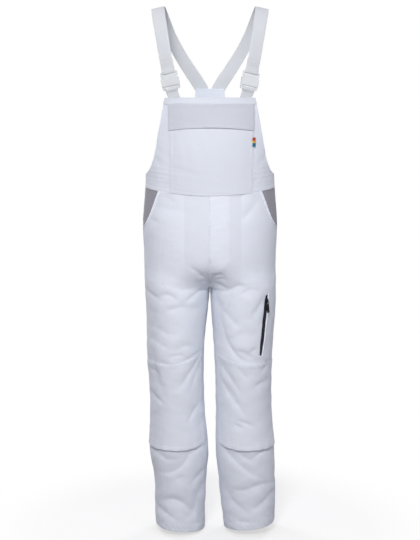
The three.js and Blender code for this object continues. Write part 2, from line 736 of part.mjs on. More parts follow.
function toGeometry(solid) {
  const { vertProperties, triVerts, numProp } = solid.getMesh();
  const positions = [];
  for (let k = 0; k < vertProperties.length; k += numProp) {
    positions.push(vertProperties[k], vertProperties[k + 1], vertProperties[k + 2]);
  }
  const geometry = new THREE.BufferGeometry();
  geometry.setAttribute('position', new THREE.Float32BufferAttribute(positions, 3));
  geometry.setIndex(Array.from(triVerts));
  return geometry;
}

function box(from, to) {
  const size = to.map((value, k) => value - from[k]);
  const geometry = new THREE.BoxGeometry(...size);
  geometry.translate(...from.map((value, k) => value + size[k] / 2));
  return toSolid(geometry);
}

// The half with the prongs: a slotted frame with two sprung prongs below it.
function buckleTopGeometry() {
  const { width, height, bar } = buckleHalf;
  const half = [
    [width, height - 2], [width, 10.4], [17.2, 10.4], [17.2, 5.8], [22.5, 4.2], [22.5, 0.5],
    [17.2, -1.6], [15.5, -7], [11, -7], [11, 6], [8, 10.4],
  ];
  const outline = new THREE.Shape();
  outline.moveTo(-width + 2, height);
  outline.lineTo(width - 2, height);
  half.forEach(([x, y]) => outline.lineTo(x, y));
  [...half].reverse().forEach(([x, y]) => outline.lineTo(-x, y));
  const hole = roundedRect(-slot.brace, slot.near, slot.brace, slot.far, 1);
  outline.holes.push(hole);
  return extrudeBetween(outline, -bar, bar);
}

// The half with the mouth: a flat case, open at the top and at both sides.
function buckleBaseGeometry() {
  const { width, height, thick, bar } = buckleHalf;
  const shape = roundedRect(-width - 1, -height, width + 1, JOINT_V, 5);
  shape.holes.push(roundedRect(-slot.tab, -slot.far, slot.tab, -slot.near, 1));
  const cavity = box([-17.8, -8, -2.4], [17.8, JOINT_V + 1, 2.4]);
  const windows = box([-width - 2, -2.2, -2.4], [width + 2, 6.5, 2.4]);
  const above = box([-width - 2, -height - 1, bar], [width + 2, -14, thick + 1]);
  const below = box([-width - 2, -height - 1, -thick - 1], [width + 2, -14, -bar]);
  const solid = toSolid(extrudeBetween(shape, -thick, thick, 1))
    .subtract(cavity).subtract(windows).subtract(above).subtract(below);
  return toGeometry(solid);
}

function placeBuckle(mesh, side) {
  const mirror = (p) => vec(SIDES[side] * p.x, p.y, p.z);
  const across = mirror(BUCKLE_ACROSS).multiplyScalar(SIDES[side]);
  const basis = new THREE.Matrix4().makeBasis(across, mirror(BUCKLE_UP), mirror(BUCKLE_OUT));
  mesh.quaternion.setFromRotationMatrix(basis);
  mesh.position.copy(mirror(BUCKLE_CENTRE));
}

// ---------------------------------------------------------------- zip slider and pull
const SLIDER_Z = -821;
const PULL_LENGTH = 34;
const PULL_LEAN = 0.24; // radians that the pull leans outward from the slit
const PULL_AXIS = { v: -1.5, n: 3.2 }; // the cross-arm's centre under the slider's bridge

function sliderFrame() {
  const middle = slitU(SLIDER_Z);
  const origin = clothPoint('left', 'front', middle, SLIDER_Z);
  const above = clothPoint('left', 'front', slitU(SLIDER_Z + 8), SLIDER_Z + 8);
  const out = normalOf(clothPoint, 'left', 'front', middle, SLIDER_Z);
  const up = above.sub(origin);
  up.addScaledVector(out, -up.dot(out)).normalize();
  return { origin, up, out, across: up.clone().cross(out) };
}

// Across is x, up the slit is y and out of the cloth is z.
function sliderGeometry() {
  const keel = box([-2.2, -5, -1.2], [2.2, 5, 1]);
  const plate = toSolid(extrudeBetween(roundedRect(-3.8, -6, 3.8, 6, 2), 0.5, 2));
  const lowerPost = box([-1, -4, 1.8], [1, -2.8, 5]);
  const upperPost = box([-1, 2.8, 1.8], [1, 4, 5]);
  const bridge = box([-1, -4, 4.5], [1, 4, 5.5]);
  return toGeometry(keel.add(plate).add(lowerPost).add(upperPost).add(bridge));
}

// The pull hangs from the origin along -y. Its round cross-arm lies along x.
function pullGeometry() {
  const half = 4.3;
  const arm = 0.7;
  const plate = toSolid(extrudeBetween(roundedRect(-half, -PULL_LENGTH, half, 0, 0.6), -arm, arm));
  const eye = box([-3.4, -8.3, -1], [3.4, 1, 1]);
  const crossArm = new THREE.CylinderGeometry(arm, arm, 2 * half, 12).rotateZ(Math.PI / 2);
  return toGeometry(plate.subtract(eye).add(toSolid(crossArm)));
}

// ---------------------------------------------------------------- materials
const whiteCloth = { color: 0xdfe3ec, roughness: 0.9, metalness: 0 };
const whiteWebbing = { color: 0xdcdfe3, roughness: 0.85, metalness: 0 };
const greyCloth = { color: 0x7b7983, roughness: 0.9, metalness: 0 };
const darkTape = { color: 0x2f2b38, roughness: 0.8, metalness: 0 };
const whitePlastic = { color: 0xe6eaed, roughness: 0.4, metalness: 0 };
const darkMetal = { color: 0x35333b, roughness: 0.45, metalness: 0.6 };

// ---------------------------------------------------------------- assembly
const overalls = new THREE.Group();

// Widths of narrow strips along the leg panels, and of the small tab, in grid columns.
const BINDING_COLUMNS = 0.16;
const WELT_COLUMNS = 0.16;
const TAPE_OVERLAP = 0.3; // how far the zip's tape reaches under the cloth on each side
const LABEL_COLUMNS = [0.06, 0.75]; // its two edges, from the pocket's edge

function addPiece(name, geometry, look, parent = overalls) {
  const mesh = new THREE.Mesh(geometry, new THREE.MeshStandardMaterial(look));
  mesh.name = name;
  parent.add(mesh);
  return mesh;
}

for (const side of ['left', 'right']) {
  const front = legGrid(side, 'front');
  const back = legGrid(side, 'back');
  const hasSlit = side === 'left';
  const slitTop = rowIndex(SLIT_TOP_Z);
  const slitFoot = rowIndex(SLIT_FOOT_Z);
  const outsideSlit = (i, j) => !(hasSlit && j === SLIT_COLUMN && i >= slitTop && i < slitFoot);
  const clear = clearOfMiddle(side);
  const cloth = (name, grid, depth, wall, look, keep) => {
    addPiece(name, sheetGeometry(grid, () => -depth - wall, wall, keep, clear), look);
  };
  cloth(`front_leg_${side}`, front, 0, CLOTH, whiteCloth, outsideSlit);
  cloth(`back_leg_${side}`, back, 0, CLOTH, whiteCloth);
  cloth(`hip_facing_${side}`, facingGrid(side), FACING_DEPTH, CLOTH, greyCloth);
  cloth(`pocket_bag_${side}`, bagGrid(side), BAG_DEPTH, LINING, whiteCloth);

  const binding = cutGrid(front, 0, rowIndex(MOUTH_Z) - 1, 0, BINDING_COLUMNS);
  addPiece(`pocket_binding_${side}`, sheetGeometry(binding, () => 2 * GAP, CLOTH), whiteCloth);

  const patchTop = rowIndex(PATCH_TOP_Z);
  const patchFoot = rowIndex(PATCH_FOOT_Z);
  const patch = cutGrid(front, patchTop, patchFoot, 0, PATCH_COLUMNS + (hasSlit ? 1 : 0));
  const lift = (i) => GAP + PATCH_STANDOFF * (i / (patch.length - 1)) ** 5;
  addPiece(`knee_patch_${side}`, sheetGeometry(patch, lift, CLOTH), whiteCloth);

  if (hasSlit) {
    const weltFrom = SLIT_COLUMN - WELT_COLUMNS;
    const welt = cutGrid(front, slitTop, slitFoot, weltFrom, SLIT_COLUMN);
    addPiece('thigh_zip_welt', sheetGeometry(welt, () => GAP, CLOTH), whiteCloth);
    const [tapeFrom, tapeTo] = [SLIT_COLUMN - TAPE_OVERLAP, SLIT_COLUMN + 1 + TAPE_OVERLAP];
    const tape = cutGrid(front, slitTop - 1, slitFoot + 1, tapeFrom, tapeTo);
    cloth('thigh_zip_tape', tape, CLOTH + GAP, LINING, darkTape);
  }

  addPiece(`brace_${side}`, braceGeometry(side), whiteWebbing);
  addPiece(`buckle_tab_${side}`, tabGeometry(side), whiteWebbing);
  placeBuckle(addPiece(`buckle_top_${side}`, buckleTopGeometry(), whitePlastic), side);
  placeBuckle(addPiece(`buckle_base_${side}`, buckleBaseGeometry(), whitePlastic), side);
}

const flySheet = sheetGeometry(flyGrid(), () => -FLY_DEPTH - LINING, LINING);
addPiece('fly_facing', flySheet, whiteCloth);

const bib = bibGrid();
const bibRow = (z) => BIB_ROWS.indexOf(z);
const pocketFrom = BIB_SIDE_CELLS;
const pocketTo = BIB_SIDE_CELLS + BIB_POCKET_CELLS;
const lastColumn = bib[0].length - 1;
addPiece('bib_front', sheetGeometry(bib, () => -CLOTH, CLOTH), whiteCloth);

const band = cutGrid(bib, 0, bibRow(BAND_Z), 0, lastColumn);
addPiece('bib_top_band', sheetGeometry(band, () => GAP, CLOTH), whiteCloth);

const pocket = cutGrid(bib, bibRow(POCKET_TOP_Z), BIB_ROWS.length - 1, pocketFrom, pocketTo);
addPiece('bib_pocket', sheetGeometry(pocket, () => GAP, CLOTH), whiteCloth);

// The flap hangs from just under the band, over the pocket's mouth.
const flap = cutGrid(bib, bibRow(BAND_Z), bibRow(FLAP_Z), pocketFrom, pocketTo);
flap[0].forEach((node, j) => node.point.lerp(flap[1][j].point, 0.03));
addPiece('bib_flap', sheetGeometry(flap, () => GAP + CLOTH + GAP, CLOTH), whiteCloth);

const [labelFrom, labelTo] = LABEL_COLUMNS.map((column) => pocketTo + column);
const label = cutGrid(bib, bibRow(LABEL_TOP_Z), bibRow(LABEL_FOOT_Z), labelFrom, labelTo);
addPiece('label_tab', sheetGeometry(label, () => GAP, CLOTH), whiteCloth);

addPiece('back_bib', sheetGeometry(backGrid(), () => -CLOTH, CLOTH), whiteCloth);
addPiece('back_waistband', sheetGeometry(waistbandGrid(), () => -CLOTH, CLOTH), whiteCloth);

const { origin, up, out, across } = sliderFrame();
const zip = new THREE.Group();
zip.quaternion.setFromRotationMatrix(new THREE.Matrix4().makeBasis(across, up, out));
zip.position.copy(origin);
addPiece('zip_slider', sliderGeometry(), darkMetal, zip);
const pull = addPiece('zip_pull', pullGeometry(), darkMetal, zip);
pull.position.set(0, PULL_AXIS.v, PULL_AXIS.n);
pull.rotation.z = PULL_LEAN;
overalls.add(zip);

export default overalls;
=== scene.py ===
"""White bib and brace overalls, worn with no wearer, for a clean studio picture.

The garment's surface is worked out in millimetres from the same rings as the CAD model.
The cloth pieces are thin closed shells on that surface, with creases, seams and stitches.
"""

import math

import bmesh
import bpy
import numpy as np
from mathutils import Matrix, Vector


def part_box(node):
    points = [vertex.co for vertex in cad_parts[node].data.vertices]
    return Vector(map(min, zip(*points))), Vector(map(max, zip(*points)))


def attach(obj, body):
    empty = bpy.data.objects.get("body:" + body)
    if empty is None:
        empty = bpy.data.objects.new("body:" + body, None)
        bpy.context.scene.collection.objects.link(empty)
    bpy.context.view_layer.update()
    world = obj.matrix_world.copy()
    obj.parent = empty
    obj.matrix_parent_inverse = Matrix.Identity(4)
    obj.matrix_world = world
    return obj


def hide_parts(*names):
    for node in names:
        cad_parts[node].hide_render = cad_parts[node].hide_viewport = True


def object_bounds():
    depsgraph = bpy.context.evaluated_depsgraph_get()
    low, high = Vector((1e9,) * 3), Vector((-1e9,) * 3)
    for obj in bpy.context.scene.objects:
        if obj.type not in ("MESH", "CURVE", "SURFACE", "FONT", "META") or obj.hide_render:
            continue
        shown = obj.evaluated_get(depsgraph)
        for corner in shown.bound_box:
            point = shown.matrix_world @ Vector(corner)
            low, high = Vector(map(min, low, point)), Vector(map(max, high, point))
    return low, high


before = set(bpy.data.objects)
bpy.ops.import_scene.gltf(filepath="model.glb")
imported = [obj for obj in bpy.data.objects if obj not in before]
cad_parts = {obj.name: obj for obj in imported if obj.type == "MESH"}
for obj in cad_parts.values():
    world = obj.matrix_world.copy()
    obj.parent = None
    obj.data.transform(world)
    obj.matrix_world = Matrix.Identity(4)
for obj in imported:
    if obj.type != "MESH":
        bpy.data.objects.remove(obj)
cad_box = [list(corner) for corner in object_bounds()]

MM = 0.001

# ------------------------------------------------------------------ driving dimensions, mm
CLOTH = 0.9  # thickness of the twill
GAP = 0.25  # between two layers that lie on each other
WEBBING = 1.6
SEAM_EDGE = 0.45  # from a panel's edge to the seam line
EDGE_STEPS = (0, 0.9, 2.2, 4.2, 6.5, 8.5, 10.5)  # a grid's first lines in from an edge
FINE_STEP = 3.1  # between a grid's other lines

BIB_TOP_Z, BAND_Z, POCKET_TOP_Z = -250, -267, -292
FLAP_Z, FLAP_RISE = -340, 8
BAND_TOP_Z, WAIST_Z, WAIST_DIP = -464, -502, 17
WAIST_HALF = 185
MOUTH_Z, MOUTH_X = -619, 145
CROTCH_Z = -792
FRONT_FORK, BACK_FORK = 110, 160
PATCH_TOP_Z, PATCH_TOP_RISE = -1005, 28
PATCH_MIDDLE_Z = -1125
PATCH_FOOT_Z, PATCH_FOOT_RISE = -1260, 12
PATCH_EDGE = 0.87  # the knee patch's inner edge, as a share of the front's width
SLIT_TOP_Z, SLIT_FOOT_Z, SLIT_HALF = -805, -981, 7
HEM_Z, HEM_TURN = -1507, 20
FLY_WIDTH, FLY_BEND_Z, FLY_FOOT_Z = 55, -690, -740
POCKET_HALF_TOP, POCKET_HALF_FOOT, POCKET_CENTRE_X = 118, 114, 3
BACK_TOP_Z = -222
BAG_EDGE_X = {"left": 88, "right": 73}
BAG_FOOT_Z = -768
BAG_WIDTH = {"left": 131, "right": 150}

SIDES = {"left": 1, "right": -1}

# Torso rings: height, half width, reach to the front and to the back, centre.
TORSO = [
    (-200, 160, 98, 106, 0), (-250, 172, 108, 111, 0), (-311, 176, 117, 116, 0),
    (-366, 179, 123, 118, 0), (-422, 181, 126, 118, 0), (-464, 183, 126, 118, 0),
    (-502, 185, 126, 120, 0), (-560, 190, 129, 129, 1), (-610, 193, 132, 134, 3),
    (-684, 190, 131, 134, 5), (-740, 189, 127, 128, 8), (-792, 189.5, 122, 122, 10),
]
# Leg rings: height, distance of the centre from the middle plane, half width.
LEG_WIDTH = {
    "left": [
        (-620, 96, 95.5), (-792, 96, 94.6), (-860, 96.5, 92), (-978, 97, 85), (-1128, 99, 81),
        (-1280, 104, 86), (-1372, 110, 83), (-1434, 113, 82), (-1525, 117, 74),
    ],
    "right": [
        (-620, 96, 95.5), (-792, 95, 93.8), (-860, 97, 89), (-978, 101, 83), (-1128, 97, 79),
        (-1280, 92, 86), (-1372, 88, 76), (-1434, 89, 74.5), (-1525, 90, 72),
    ],
}
# Leg rings: height, reach to the front and to the back, centre.
LEG_DEPTH = [
    (-620, 112, 118, 8), (-792, 108, 114, 10), (-860, 105, 113, 10), (-978, 97, 106, 10),
    (-1128, 87, 94, 11), (-1280, 84, 92, 13), (-1372, 79, 86, 14), (-1434, 76, 80, 15),
    (-1525, 73, 75, 16),
]
# Edges: height and half width of the bib and of the raised back.
BIB_EDGE = [(-250, 125), (-283, 132), (-338, 143), (-394, 154), (-430, 163), (-450, 172), (-464, 183)]
BACK_EDGE = [(-222, 41), (-250, 45), (-300, 58), (-350, 79), (-400, 115), (-440, 158), (-464, 183)]

# ------------------------------------------------------------------ creases, listed one by one
# Each is a line of x and z, then its depth, its half widths on the left and on the right of the
# line's direction (above and below, when it runs left to right as seen from the front), and how
# crisp it is: 1.3 is a sharp fold, 2 a soft one.
CRISPNESS = 0.8  # sharpens every crease alike
BROAD, BROAD_EASE = 8, 0.55  # creases wider than this are made shallower, by this power
FRONT_CREASES = [
    ([(-128, -521), (-112, -529), (-98, -540)], 2, 6, 12, 1.6),
    ([(-159, -549), (-112, -557), (-73, -560)], 2.5, 10, 22, 2),
    ([(-170, -582), (-145, -599)], 2, 7, 14, 2),
    ([(92, -585), (112, -563), (137, -532)], 2.5, 12, 9, 2),
    ([(84, -515), (100, -521)], 1.5, 6, 9, 2),
    ([(-56, -718), (-37, -732), (-14, -752)], 3.5, 8, 7, 1.5),
    ([(-7, -758), (-23, -747), (-38, -743)], 2.4, 3.5, 5, 1.4),
    ([(-7, -766), (-21, -762), (-36, -767)], 2.2, 3.5, 4, 1.4),
    ([(-9, -750), (-15, -733)], 1.8, 3, 3.5, 1.6),
    ([(7, -757), (18, -745), (31, -742), (45, -751)], 2.6, 3.5, 5, 1.4),
    ([(9, -751), (13, -736)], 1.8, 3, 3.5, 1.6),
    ([(-107, -780), (-68, -786), (-20, -780)], 5, 26, 9, 1.6),
    ([(-73, -823), (-42, -803), (-8, -783)], 4.5, 7, 12, 1.3),
    ([(-186, -794), (-161, -806), (-136, -820)], 3.5, 6, 13, 1.5),
    ([(-147, -806), (-118, -800), (-93, -814)], 3.5, 6, 12, 1.5),
    ([(-127, -849), (-105, -840), (-79, -836), (-40, -843)], 6, 9, 20, 1.6),
    ([(-167, -889), (-147, -903), (-125, -915), (-82, -912)], 7, 34, 13, 1.8),
    ([(-176, -932), (-148, -944), (-119, -958)], 5, 20, 8, 1.5),
    ([(-99, -964), (-79, -953), (-62, -950), (-37, -964)], 4, 8, 16, 1.6),
    ([(-119, -984), (-88, -976), (-74, -982)], 3, 6, 11, 1.6),
    ([(-148, -999), (-111, -1005)], 2.5, 6, 12, 1.8),
    ([(-88, -999), (-57, -987), (-26, -970)], 3, 6, 10, 1.4),
    ([(-86, -1072), (-54, -1025), (-28, -982)], 4, 9, 9, 1.8),
    ([(-57, -1081), (-40, -1037), (-23, -999)], 3, 7, 7, 1.8),
    ([(-165, -1005), (-154, -1046), (-137, -1092)], 5, 12, 16, 2),
    ([(-168, -964), (-159, -1022), (-166, -1081), (-160, -1133)], 3, 6, 7, 1.5),
    ([(-177, -1022), (-148, -1037)], 2.2, 5, 7, 1.6),
    ([(-177, -1092), (-132, -1125)], 3, 6, 8, 1.6),
    ([(11, -760), (34, -755), (48, -760)], 2.5, 5, 7, 1.4),
    ([(11, -769), (28, -774), (48, -786)], 3.5, 5, 8, 1.4),
    ([(31, -797), (56, -786), (79, -774), (99, -777)], 5.5, 8, 14, 1.5),
    ([(71, -809), (96, -794), (116, -786), (144, -792)], 4.5, 8, 16, 1.6),
    ([(17, -806), (25, -849), (43, -924), (57, -953), (80, -982), (105, -996), (137, -996)],
     4, 7, 9, 1.5),
    ([(23, -832), (51, -863), (82, -898)], 7, 24, 9, 1.7),
    ([(119, -866), (138, -837), (155, -812)], 4, 8, 16, 1.8),
    ([(51, -941), (79, -918), (111, -906)], 3, 9, 16, 2),
    ([(65, -964), (94, -968), (114, -979), (134, -990)], 4.5, 7, 14, 1.5),
    ([(114, -967), (133, -958)], 2, 5, 8, 1.8),
    ([(26, -1002), (54, -1040), (89, -1089)], 4.5, 10, 10, 1.8),
    ([(20, -1034), (49, -1084), (74, -1128)], 3.5, 8, 8, 1.8),
    ([(80, -1013), (111, -1051)], 3, 14, 8, 1.8),
    ([(126, -1078), (143, -1063), (171, -1057)], 3.5, 7, 12, 1.6),
    ([(148, -1031), (171, -1002)], 2.5, 6, 8, 1.8),
    ([(54, -1075), (77, -1119), (106, -1166)], 4, 12, 7, 1.7),
    ([(83, -1172), (103, -1178), (129, -1192)], 3.5, 5, 10, 1.4),
    ([(72, -1183), (95, -1195)], 2.5, 5, 7, 1.6),
    ([(-66, -1181), (-49, -1151), (-31, -1122)], 3, 7, 7, 1.8),
    ([(-147, -1335), (-121, -1332), (-95, -1320), (-72, -1299), (-58, -1275), (-37, -1262),
      (-14, -1250)], 9, 20, 9, 1.7),
    ([(-173, -1260), (-150, -1278), (-124, -1290), (-89, -1287)], 6, 20, 9, 1.6),
    ([(-104, -1353), (-78, -1341)], 2.5, 8, 10, 1.8),
    ([(-58, -1371), (-32, -1344), (-14, -1329)], 4, 10, 10, 1.8),
    ([(-154, -1434), (-130, -1416), (-104, -1414), (-75, -1428), (-46, -1458)], 9, 13, 18, 1.6),
    ([(-157, -1443), (-131, -1458), (-99, -1476)], 4.5, 9, 12, 1.7),
    ([(-75, -1482), (-46, -1449), (-35, -1407), (-12, -1359)], 5, 14, 12, 1.9),
    ([(30, -1250), (46, -1268), (63, -1286), (89, -1308), (118, -1332), (156, -1350)],
     9, 26, 9, 1.7),
    ([(78, -1262), (94, -1280), (124, -1294)], 4, 12, 8, 1.7),
    ([(121, -1288), (144, -1274), (175, -1266)], 4, 9, 7, 1.4),
    ([(64, -1386), (104, -1383), (127, -1374), (159, -1368), (188, -1374)], 7, 12, 18, 1.6),
    ([(43, -1383), (70, -1425), (113, -1455)], 6, 14, 16, 1.8),
    ([(130, -1446), (159, -1422), (188, -1398)], 5, 10, 14, 1.8),
    ([(75, -1485), (116, -1482)], 2, 8, 8, 2),
]
BACK_CREASES = [
    ([(-150, -862), (-70, -840), (-20, -800)], 7, 16, 14, 1.7),
    ([(20, -800), (75, -845), (152, -858)], 7, 14, 18, 1.7),
    ([(-150, -915), (-90, -905), (-30, -870)], 5, 9, 18, 1.6),
    ([(32, -880), (95, -915), (150, -930)], 5, 9, 18, 1.6),
    ([(-120, -700), (-60, -740), (-15, -775)], 3, 12, 16, 1.9),
    ([(15, -775), (62, -738), (118, -705)], 3, 12, 16, 1.9),
    ([(-160, -560), (-110, -575), (-60, -560)], 2, 9, 16, 2),
    ([(55, -558), (105, -578), (160, -562)], 2, 9, 16, 2),
    ([(-60, -1000), (-40, -950), (-24, -900)], 3.5, 9, 9, 1.8),
    ([(24, -905), (44, -960), (70, -1010)], 3.5, 9, 9, 1.8),
    ([(-150, -1060), (-95, -1085), (-40, -1070)], 6, 9, 18, 1.6),
    ([(-155, -1095), (-110, -1108), (-70, -1106)], 3.5, 7, 12, 1.5),
    ([(-145, -1130), (-90, -1140), (-40, -1120)], 6, 9, 18, 1.6),
    ([(-120, -1172), (-70, -1180), (-35, -1165)], 4, 8, 14, 1.6),
    ([(45, -1065), (100, -1090), (155, -1075)], 6, 9, 18, 1.6),
    ([(62, -1108), (110, -1118), (158, -1100)], 3.5, 7, 12, 1.5),
    ([(48, -1125), (105, -1150), (150, -1135)], 6, 9, 18, 1.6),
    ([(55, -1178), (100, -1190), (140, -1172)], 4, 8, 14, 1.6),
    ([(-150, -1330), (-90, -1350), (-35, -1335)], 6, 12, 18, 1.7),
    ([(-120, -1290), (-75, -1262), (-40, -1240)], 4, 14, 9, 1.8),
    ([(60, -1340), (110, -1360), (170, -1345)], 6, 12, 18, 1.7),
    ([(65, -1238), (100, -1268), (150, -1290)], 4, 14, 9, 1.8),
    ([(-140, -1430), (-90, -1440), (-45, -1420)], 5, 10, 16, 1.6),
    ([(-150, -1470), (-110, -1462), (-75, -1470)], 3, 8, 12, 1.7),
    ([(65, -1425), (115, -1445), (165, -1430)], 5, 10, 16, 1.6),
    ([(90, -1478), (130, -1468), (165, -1474)], 3, 8, 12, 1.7),
]
BIB_CREASES = [
    ([(-46, -345), (-34, -375), (-18, -405)], 0.9, 16, 16, 2),
    ([(-70, -370), (-62, -410), (-58, -440)], 0.8, 12, 12, 2),
    ([(20, -360), (28, -400), (24, -440)], 0.7, 14, 14, 2),
    ([(72, -352), (66, -392), (70, -430)], 0.7, 12, 12, 2),
    ([(-108, -440), (-80, -446), (-48, -450)], 1.0, 4, 5, 1.7),
    ([(-110, -452), (-76, -456), (-30, -460)], 0.9, 4, 5, 1.7),
    ([(-166, -402), (-152, -420), (-134, -434)], 2.2, 8, 10, 1.8),
    ([(-158, -372), (-146, -392), (-134, -404)], 1.5, 8, 9, 1.9),
    ([(134, -434), (152, -416), (164, -398)], 2.0, 8, 10, 1.8),
    ([(-100, -300), (-40, -322), (20, -318)], 0.8, 20, 24, 2),
    ([(30, -305), (70, -325), (108, -322)], 0.7, 18, 20, 2),
]


# ------------------------------------------------------------------ small helpers
def lerp(a, b, t):
    return a + (b - a) * t


def ramp(start, end, value):
    return np.clip((value - start) / (end - start), 0, 1)


def ease(t):
    return t * t * (3 - 2 * t)


def unit(v):
    return v / np.maximum(np.linalg.norm(v, axis=-1, keepdims=True), 1e-12)


def bump_at(value, middle, half):
    return np.exp(-(((value - middle) / half) ** 2))


def section_at(table, z):
    """A smooth value of every column at heights z, of a table whose rows run downward."""
    t = np.array(table, float)
    last = len(t) - 1
    step = np.arange(last + 1)
    above, below = t[np.maximum(step - 1, 0)], t[np.minimum(step + 1, last)]
    slope = (below - above)[:, 1:] / (below - above)[:, :1]
    z = np.clip(np.asarray(z, float), t[-1, 0], t[0, 0])
    row = np.clip(np.searchsorted(-t[:, 0], -z, side="right") - 1, 0, last - 1)
    span = (t[row + 1, 0] - t[row, 0])[..., None]
    s = (z[..., None] - t[row, 0][..., None]) / span
    start, end = t[row, 1:], t[row + 1, 1:]
    found = (2 * s**3 - 3 * s**2 + 1) * start + (s**3 - 2 * s**2 + s) * slope[row] * span
    found += (3 * s**2 - 2 * s**3) * end + (s**3 - s**2) * slope[row + 1] * span
    return np.moveaxis(found, -1, 0)


def smooth_line(points, steps=6):
    """A centripetal Catmull-Rom line through points, with steps to each stretch."""
    p = np.array(points, float)
    p = np.vstack([2 * p[0] - p[1], p, 2 * p[-1] - p[-2]])
    found = []
    for k in range(1, len(p) - 2):
        ends = p[k - 1 : k + 3]
        gaps = np.maximum(np.sqrt(np.linalg.norm(np.diff(ends, axis=0), axis=1)), 1e-6)
        t0, t1, t2, t3 = np.concatenate([[0], np.cumsum(gaps)])
        t = np.linspace(t1, t2, steps, endpoint=False)[:, None]
        a1 = lerp(ends[0], ends[1], (t - t0) / (t1 - t0))
        a2 = lerp(ends[1], ends[2], (t - t1) / (t2 - t1))
        a3 = lerp(ends[2], ends[3], (t - t2) / (t3 - t2))
        b1 = lerp(a1, a2, (t - t0) / (t2 - t0))
        b2 = lerp(a2, a3, (t - t1) / (t3 - t1))
        found.append(lerp(b1, b2, (t - t1) / (t2 - t1)))
    return np.vstack([*found, p[-2]])


def ripple(points, length, seed, stretch=(1, 1, 1)):
    """A smooth wandering value near -1 to 1 at each point, of about this wavelength."""
    rng = np.random.default_rng(seed)
    waves = unit(rng.normal(size=(9, 3))) * rng.uniform(0.7, 1.4, (9, 1))
    phase = rng.uniform(0, 2 * math.pi, 9)
    scaled = points * np.array(stretch) * (2 * math.pi / length)
    return np.sin(scaled @ waves.T + phase).sum(-1) / 4.5


# ------------------------------------------------------------------ the worn surface
# u runs from 0 at the side seam to 1 at the centre line, and below the crotch to the inseam.
def torso_point(side, face, u, z):
    half_width, front, back, centre_y = section_at(TORSO, z)
    even = u * math.pi / 2
    matched = np.arccos(np.cos(even) ** 2)
    angle = lerp(even, matched, ease(ramp(WAIST_Z, CROTCH_Z + FRONT_FORK, z)))
    reach = -front if face == "front" else back
    x = SIDES[side] * half_width * np.cos(angle)
    return np.stack([x, centre_y + reach * np.sin(angle), z + 0 * x], -1)


def leg_point(side, face, u, z):
    centre_x, half_width = section_at(LEG_WIDTH[side], z)
    front, back, centre_y = section_at(LEG_DEPTH, z)
    angle = u * math.pi
    reach = -front if face == "front" else back
    x = SIDES[side] * (centre_x + half_width * np.cos(angle))
    return np.stack([x, centre_y + reach * np.sin(angle), z + 0 * x], -1)


def form_point(side, face, u, z):
    """The torso ring opens into two leg rings along a round fork."""
    fork = FRONT_FORK if face == "front" else BACK_FORK
    s = ramp(CROTCH_Z + fork, CROTCH_Z, z)
    rounded = 1 - np.sqrt(1 - s * s)
    weight = lerp(ease(s) ** 2.5, rounded, ramp(0.6, 1, u) ** 1.5)[..., None]
    return lerp(torso_point(side, face, u, z), leg_point(side, face, u, z), weight)


def normals_of(point_at, side, face, u, z, step_u=0.006, step_z=1.2):
    along_u = point_at(side, face, np.minimum(u + step_u, 1), z)
    along_u = along_u - point_at(side, face, np.maximum(u - step_u, 0), z)
    along_z = point_at(side, face, u, z + step_z) - point_at(side, face, u, z - step_z)
    sense = SIDES[side] * (1 if face == "front" else -1)
    return unit(sense * np.cross(along_z, along_u))


def crease_depth(creases, x, z):
    """How far the creases move the cloth in at each x and z."""
    depth = np.zeros(np.shape(x))
    for line, deep, above, below, crisp in creases:
        line = smooth_line(line, 5)
        reach = 3 * max(above, below)
        low, high = line.min(0) - reach, line.max(0) + reach
        near = (x > low[0]) & (x < high[0]) & (z > low[1]) & (z < high[1])
        if not near.any():
            continue
        at = np.stack([x[near], z[near]], -1)[:, None]
        start, run = line[:-1], np.diff(line, axis=0)
        length = (run**2).sum(-1)
        t = np.clip(((at - start) * run).sum(-1) / length, 0, 1)
        away = at - start - t[..., None] * run
        distance = np.linalg.norm(away, axis=-1)
        nearest = distance.argmin(1)
        rows = np.arange(len(nearest))
        gap = distance[rows, nearest]
        off = away[rows, nearest]
        side_of = run[nearest, 0] * off[:, 1] - run[nearest, 1] * off[:, 0]
        along = (nearest + t[rows, nearest]) / len(run)
        # The two half widths blend across the line, so the crease has no step at its ends.
        lean = np.clip(side_of / np.maximum(gap * np.sqrt(length[nearest]), 1e-9), -1, 1)
        half = lerp(below, above, (lean + 1) / 2)
        taper = np.sin(math.pi * (0.07 + 0.86 * along)) ** 0.8
        calm = min(1, BROAD / max(above, below)) ** BROAD_EASE
        trough = np.exp(-((gap / half) ** (CRISPNESS * crisp)))
        depth[near] += deep * calm * taper * trough
    return depth


def slack(points, z):
    """The small unevenness of worn cloth, as a distance outward."""
    loose = 0.35 + 0.5 * bump_at(z, -1090, 130) + 0.75 * ramp(-1230, -1460, z)
    loose += 0.45 * bump_at(z, -860, 110) - 0.15 * ramp(-700, -560, z)
    broad = 1.2 * ripple(points, 150, 3)
    folds = 0.8 * ripple(points, 62, 5, (0.8, 0.8, 1.5))
    fine = 0.4 * ripple(points, 24, 8, (0.8, 0.8, 1.4))
    return loose * (broad + folds + fine)


def cloth_point(side, face, u, z):
    """The outer surface of the trousers with its creases, which fade out at the seams."""
    point = form_point(side, face, u, z)
    fade = ease(ramp(0, 0.05, u)) * ease(ramp(1, 0.95, u))
    creases = FRONT_CREASES if face == "front" else BACK_CREASES
    depth = fade * crease_depth(creases, point[..., 0], z + 0 * u)
    quiet = ramp(WAIST_Z + 2, WAIST_Z - 40, z)
    out = slack(point, z) * quiet - depth
    normal = normals_of(form_point, side, face, u, z)
    return point + normal * out[..., None]


# ------------------------------------------------------------------ trouser panels
# A place on a panel is s, the share of its width from the side seam or pocket mouth, and row,
# its nominal height.
def waist_drop_at(x):
    return WAIST_DIP * (1 - (x / WAIST_HALF) ** 2)


